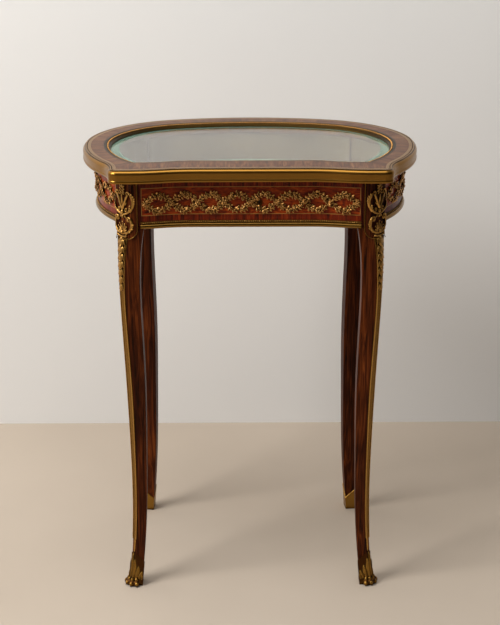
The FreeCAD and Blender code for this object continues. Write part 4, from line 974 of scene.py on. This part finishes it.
# the tail starts this far up behind the filet's end
TAIL_LAP = 2
shape = bmesh.new()
filet_low, filet_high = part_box("front_left_filet")[0][2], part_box("front_left_filet")[1][2]
for side in (-1, 1):
    points = []
    for number in range(FILET_STEPS + 1):
        z = filet_low + (filet_high - 1 * MM - filet_low) * number / FILET_STEPS + 0.4 * MM
        points.append(edge_point(leg_tree, side * (filet_half_width(z) - 0.7 * MM), z, 0.2 * MM))
    strand(shape, points, FILET_RADIUS, FILET_RADIUS, "POLY")
tail = []
for number in range(TAIL_STEPS + 1):
    share = number / TAIL_STEPS
    tail.append(edge_point(wood_tree, 0, filet_low + (TAIL_LAP - TAIL_LENGTH * share) * MM, 0))
for side in (-1, 1):
    line = []
    for number, point in enumerate(tail):
        line.append(point + ACROSS * side * (1.6 - 1.1 * number / TAIL_STEPS) * MM)
    strand(shape, line, 1.5 * MM, 0.9 * MM, "POLY")
on_each_leg(shape, "filet_edges")

# the width of a leg's square block
BLOCK_WIDTH = 37 * MM
EDGING_INSET = 1.6 * MM
EDGING_RADIUS = 0.7 * MM
# the bead's middle line runs just out of the face, which is at y = 0 in the leg's own frame
EDGING_Y = -0.3 * MM
TURN_RADIUS = 17 * MM
TURN_STEPS = 8
# the bead ends this far from where the uncut corner would be, behind the collar
EDGING_END = 10 * MM
block_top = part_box("front_left_leg")[1][2]
edge_x = BLOCK_WIDTH - EDGING_INSET
turn_level = block_foot - 1 * MM + TURN_RADIUS
shape = bmesh.new()
for swap in (False, True):
    points = [Vector((edge_x, EDGING_Y, block_top)), Vector((edge_x, EDGING_Y, turn_level + 8 * MM))]
    for number in range(TURN_STEPS + 1):
        angle = -math.pi / 2 * number / TURN_STEPS
        x = edge_x - TURN_RADIUS + TURN_RADIUS * math.cos(angle)
        points.append(Vector((x, EDGING_Y, turn_level + TURN_RADIUS * math.sin(angle))))
    points.append(Vector((EDGING_END, EDGING_Y, turn_level - TURN_RADIUS)))
    if swap:
        points = [Vector((point.y, point.x, point.z)) for point in points]
    strand(shape, points, EDGING_RADIUS, EDGING_RADIUS, "POLY")
on_each_leg(shape, "block_edging", material=moulding_bronze)

# %% [markdown]
# ## Paws
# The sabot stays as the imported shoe. Over it come a lion's toes with claws and an acanthus leaf
# that climbs the canted arris.

# %% paws
# a toe's three swellings: reach from the paw's middle, level, and half sizes along, across and up
SWELLINGS = ((13.6, 5.0, (7.4, 4.3, 5.0)), (8.6, 11.0, (7.4, 4.0, 5.6)), (5.0, 18.0, (5.0, 3.6, 8.0)))
# the angle between toes, in degrees
TOE_SPREAD = 34
# leaves of the acanthus: how far aside, foot, tip and width; each but the middle one is a pair
PAW_LEAVES = ((0, 12, 64, 9), (4.8, 13, 52, 7), (9.4, 13, 38, 7), (14, 12, 28, 6), (17, 12, 22, 5))


def toe(shape, bearing):
    """A toe with its knuckle and claw, from the paw's middle outwards."""
    way = Vector((math.cos(bearing), math.sin(bearing), 0))
    turn = Matrix.Rotation(bearing, 4, "Z")
    middle = Vector((PAW_MIDDLE, PAW_MIDDLE, 0)) / MM
    for reach, level, sizes in SWELLINGS:
        place = Matrix.Translation(middle + way * reach + UP * level) @ turn @ Matrix.Diagonal((*sizes, 1))
        bmesh.ops.create_uvsphere(shape, u_segments=14, v_segments=9, radius=1, matrix=place)
    root = middle + way * 18.0 + UP * 6.0
    made = bmesh.ops.create_cone(shape, cap_ends=True, segments=8, radius1=1.9, radius2=0.4, depth=6)["verts"]
    lean = (way * 0.75 - UP).to_track_quat("Z", "Y").to_matrix().to_4x4()
    bmesh.ops.transform(shape, matrix=Matrix.Translation(root + way * 1.0 - UP * 2.6) @ lean, verts=made)


shape = bmesh.new()
for step in (-1.5, -0.5, 0.5, 1.5):
    toe(shape, math.radians(LEG_BEARINGS["front_left"] + TOE_SPREAD * step))
bmesh.ops.scale(shape, vec=(MM, MM, MM), verts=shape.verts)
on_each_leg(shape, "paw_toes", material=foot_bronze)

sabot_tree = solid_tree("front_left_sabot", "front_left_leg", shift=own_frame)
shape = bmesh.new()
for aside, low, high, wide in PAW_LEAVES:
    for x in sorted({-aside, aside}):
        leaf(shape, Vector((x * 0.9, -0.4, low)), Vector((x * 1.1, -1.4, high)), wide, 3.6)
        leaf(shape, Vector((x, -1.6, low)), Vector((x * 1.05, -2.6, high - 6)), wide * 0.3, 2.4)
drape(shape, arris_seat(sabot_tree))
on_each_leg(shape, "paw_leaf", material=foot_bronze)

# %% [markdown]
# ## Velvet pad
# The pad is a board with wadding under velvet: flat below, rounded at its edge and a little crowned.
# It is spun out of rings: a circle's points are moved to the pad's outline, found with rays from
# its middle, and each next ring is a narrower, higher copy.

# %% velvet pad
PAD_POINTS = 180
PAD_CROWN = 1.2 * MM
CROWN_INSETS = (8, 20, 40, 70, 105)
pad_low, pad_high = map(Vector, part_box("display_pad"))
pad_tree = solid_tree("display_pad")
pad_heart = Vector((0, 0, (pad_low.z + pad_high.z) / 2))
outline = [pad_tree.ray_cast(pad_heart, way)[0] - pad_heart for way in ways_round(PAD_POINTS)]


def closed_ring(shape, outline, inset, level):
    """Edges of a ring along the outline, drawn in by inset but never to nothing, at a level."""
    made = bmesh.ops.create_circle(shape, segments=len(outline), radius=1)["verts"]
    for point, place in zip(made, outline):
        point.co = place.normalized() * max(place.length - inset, place.length * 0.02) + UP * level
    return list({edge for point in made for edge in point.link_edges})


def stacked_rings(outline, steps, middle_levels):
    """Bridges rings from the lowest to the highest and closes both ends with a middle point."""
    shape = bmesh.new()
    last, first = None, None
    for inset, level in steps:
        edges = closed_ring(shape, outline, inset, level)
        if last:
            bmesh.ops.bridge_loops(shape, edges=last + edges)
        first = first or edges
        last = edges
    for edges, level in ((first, middle_levels[0]), (last, middle_levels[1])):
        cap = bmesh.ops.edgeloop_fill(shape, edges=edges)["faces"]
        middle = bmesh.ops.poke(shape, faces=cap)["verts"][0]
        middle.co.z = level
    return shape


# the edge's profile from below: how far it is drawn in, and its level
steps = [(0.6 * MM, pad_low.z), (0.0, pad_low.z + 1.5 * MM), (0.2 * MM, pad_high.z - 2.6 * MM)]
steps += [(1.2 * MM, pad_high.z - 1.4 * MM), (3.2 * MM, pad_high.z - 0.7 * MM)]
for inset in CROWN_INSETS:
    crown = PAD_CROWN * (inset / CROWN_INSETS[-1]) ** 0.5
    steps.append((inset * MM, pad_high.z - 0.5 * MM + crown - 0.4 * MM))
shape = stacked_rings(outline, steps, (pad_low.z, pad_high.z + PAD_CROWN - 0.9 * MM))
pad = finish_piece(shape, "velvet_pad", taupe_velvet, stands_for=["display_pad"])
print("pad:", len(pad.data.polygons), "faces")

# %% [markdown]
# ## Velvet on the walls
# The case's walls wear thin wadding under the same velvet, with a cord along its upper edge. The
# lining is one closed band of rings: up its back, over the cord, and down its slightly swollen face.

# %% wall lining
LINING_POINTS = 240
CORNER_ROUNDS = 3
wall_low, wall_high = map(Vector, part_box("velvet_lining"))
lining_tree = solid_tree("velvet_lining")
heart = UP * (wall_low.z + wall_high.z) / 2
inner_face = [lining_tree.ray_cast(heart, way)[0] - heart for way in ways_round(LINING_POINTS)]
# wadding rounds the corners off, so each point is drawn towards its neighbours
for turn in range(CORNER_ROUNDS):
    before = inner_face[-1:] + inner_face[:-1]
    after = inner_face[1:] + inner_face[:1]
    inner_face = [(left + place * 2 + right) / 4 for left, place, right in zip(before, inner_face, after)]
top = (wall_high.z - wall_low.z) / MM
# the band's profile in millimetres: how far it stands back from the inner face, and its level
profile = [(1.5, 0.2), (1.5, top - 3.2), (1.7, top - 1.6), (0.9, top - 0.2), (-0.4, top - 0.5),
           (-0.7, top - 1.9), (-0.1, top - 3.3), (-0.3, top - 9), (-0.9, top * 0.6),
           (-0.8, top * 0.35), (0.0, 7.0), (0.3, 0.2)]
shape = bmesh.new()
rings = []
for back, level in profile:
    rings.append(closed_ring(shape, inner_face, -back * MM, wall_low.z + level * MM))
for lower, upper in zip(rings, rings[1:] + rings[:1]):
    bmesh.ops.bridge_loops(shape, edges=lower + upper)
lining = finish_piece(shape, "velvet_wall_lining", taupe_velvet, stands_for=["velvet_lining"])
print("lining:", len(lining.data.polygons), "faces")

# %% [markdown]
# ## Floor, wall and light
# The table stands on a plain pale floor in front of a plain pale wall, so that glass and polish
# have something even to mirror. The key is a large soft lamp at the upper left. A wide lamp
# overhead fills, and the room in front is darker, which gives the bronze its dark side.

# %% stage
bpy.context.scene.view_settings.view_transform = "Standard"
WALL_PLACE = 0.56
SHEET_REACH = 6.0


def paint(name, light, dark, cloud, rough):
    """Matt paint with hardly visible clouds."""
    material, tree, shader = new_material(name, rough)
    place = add(tree, "TexCoord").outputs["Object"]
    clouds = add(tree, "TexNoise", {"Vector": place, "Scale": cloud, "Detail": 4.0})
    tree.links.new(ramp(tree, clouds.outputs["Fac"], (0.3, dark), (0.7, light)), shader.inputs["Base Color"])
    shader.inputs["Specular IOR Level"].default_value = 0.2
    return material


def stage_sheet(name, matrix, material):
    """One large flat square of the room."""
    shape = bmesh.new()
    bmesh.ops.create_grid(shape, x_segments=1, y_segments=1, size=SHEET_REACH, matrix=matrix)
    mesh = bpy.data.meshes.new(name)
    shape.to_mesh(mesh)
    shape.free()
    mesh.materials.append(material)
    sheet = bpy.data.objects.new(name, mesh)
    bpy.context.scene.collection.objects.link(sheet)


# the wall is seen from its front only, so that it never hides the table
wall_paint = paint("wall_paint", "F2F1EF", "EEEDEB", 0.8, 0.8)
wall_nodes = wall_paint.node_tree
behind = add(wall_nodes, "NewGeometry").outputs["Backfacing"]
painted = wall_nodes.nodes["Principled BSDF"].outputs[0]
unseen = add(wall_nodes, "BsdfTransparent").outputs[0]
one_sided = add(wall_nodes, "MixShader", {0: behind, 1: painted, 2: unseen})
wall_nodes.links.new(one_sided.outputs[0], wall_nodes.nodes["Material Output"].inputs["Surface"])
upright = Matrix.Rotation(math.pi / 2, 4, "X")
stage_sheet("floor", Matrix(), paint("floor_paint", "BFB1A1", "B5A797", 1.4, 0.6))
stage_sheet("wall", Matrix.Translation((0, WALL_PLACE, SHEET_REACH)) @ upright, wall_paint)


def lamp(name, place, target, size, power, colour="FFFFFF"):
    """A soft rectangular lamp that looks at its target; metres and watts."""
    light = bpy.data.lights.new(name, "AREA")
    light.shape = "RECTANGLE"
    light.size, light.size_y = size
    light.energy = power
    light.color = linear(colour)[:3]
    holder = bpy.data.objects.new(name, light)
    holder.location = place
    holder.rotation_euler = (Vector(target) - Vector(place)).to_track_quat("-Z", "Y").to_euler()
    bpy.context.scene.collection.objects.link(holder)


lamp("key", place=(-2.1, -1.2, 2.5), target=(0, 0.1, 0.6), size=(1.3, 1.3), power=74, colour="FFFEFC")
lamp("overhead", place=(-0.3, -0.4, 3.0), target=(0, 0.1, 0.5), size=(2.4, 1.6), power=34)

# the room: bright above, behind and on the left, dim in front
ROOM_EVEN = 0.42
ROOM_ABOVE = 0.35
ROOM_BEHIND = 0.45
ROOM_RIGHT = -0.4
world = bpy.data.worlds.new("studio")
bpy.context.scene.world = world
world.use_nodes = True
sky = world.node_tree
way = add(sky, "TexCoord")
parts = add(sky, "SeparateXYZ", {"Vector": way.outputs["Generated"]})
facing = calc(sky, "MULTIPLY_ADD", parts.outputs["Z"], ROOM_ABOVE, ROOM_EVEN)
facing = calc(sky, "MULTIPLY_ADD", parts.outputs["Y"], ROOM_BEHIND, facing)
facing = calc(sky, "MULTIPLY_ADD", parts.outputs["X"], ROOM_RIGHT, facing)
room = ramp(sky, facing, (0.0, "33312F"), (0.4, "76746F"), (0.9, "F0F0F0"))
sky.links.new(room, sky.nodes["Background"].inputs["Color"])
sky.nodes["Background"].inputs["Strength"].default_value = 0.9
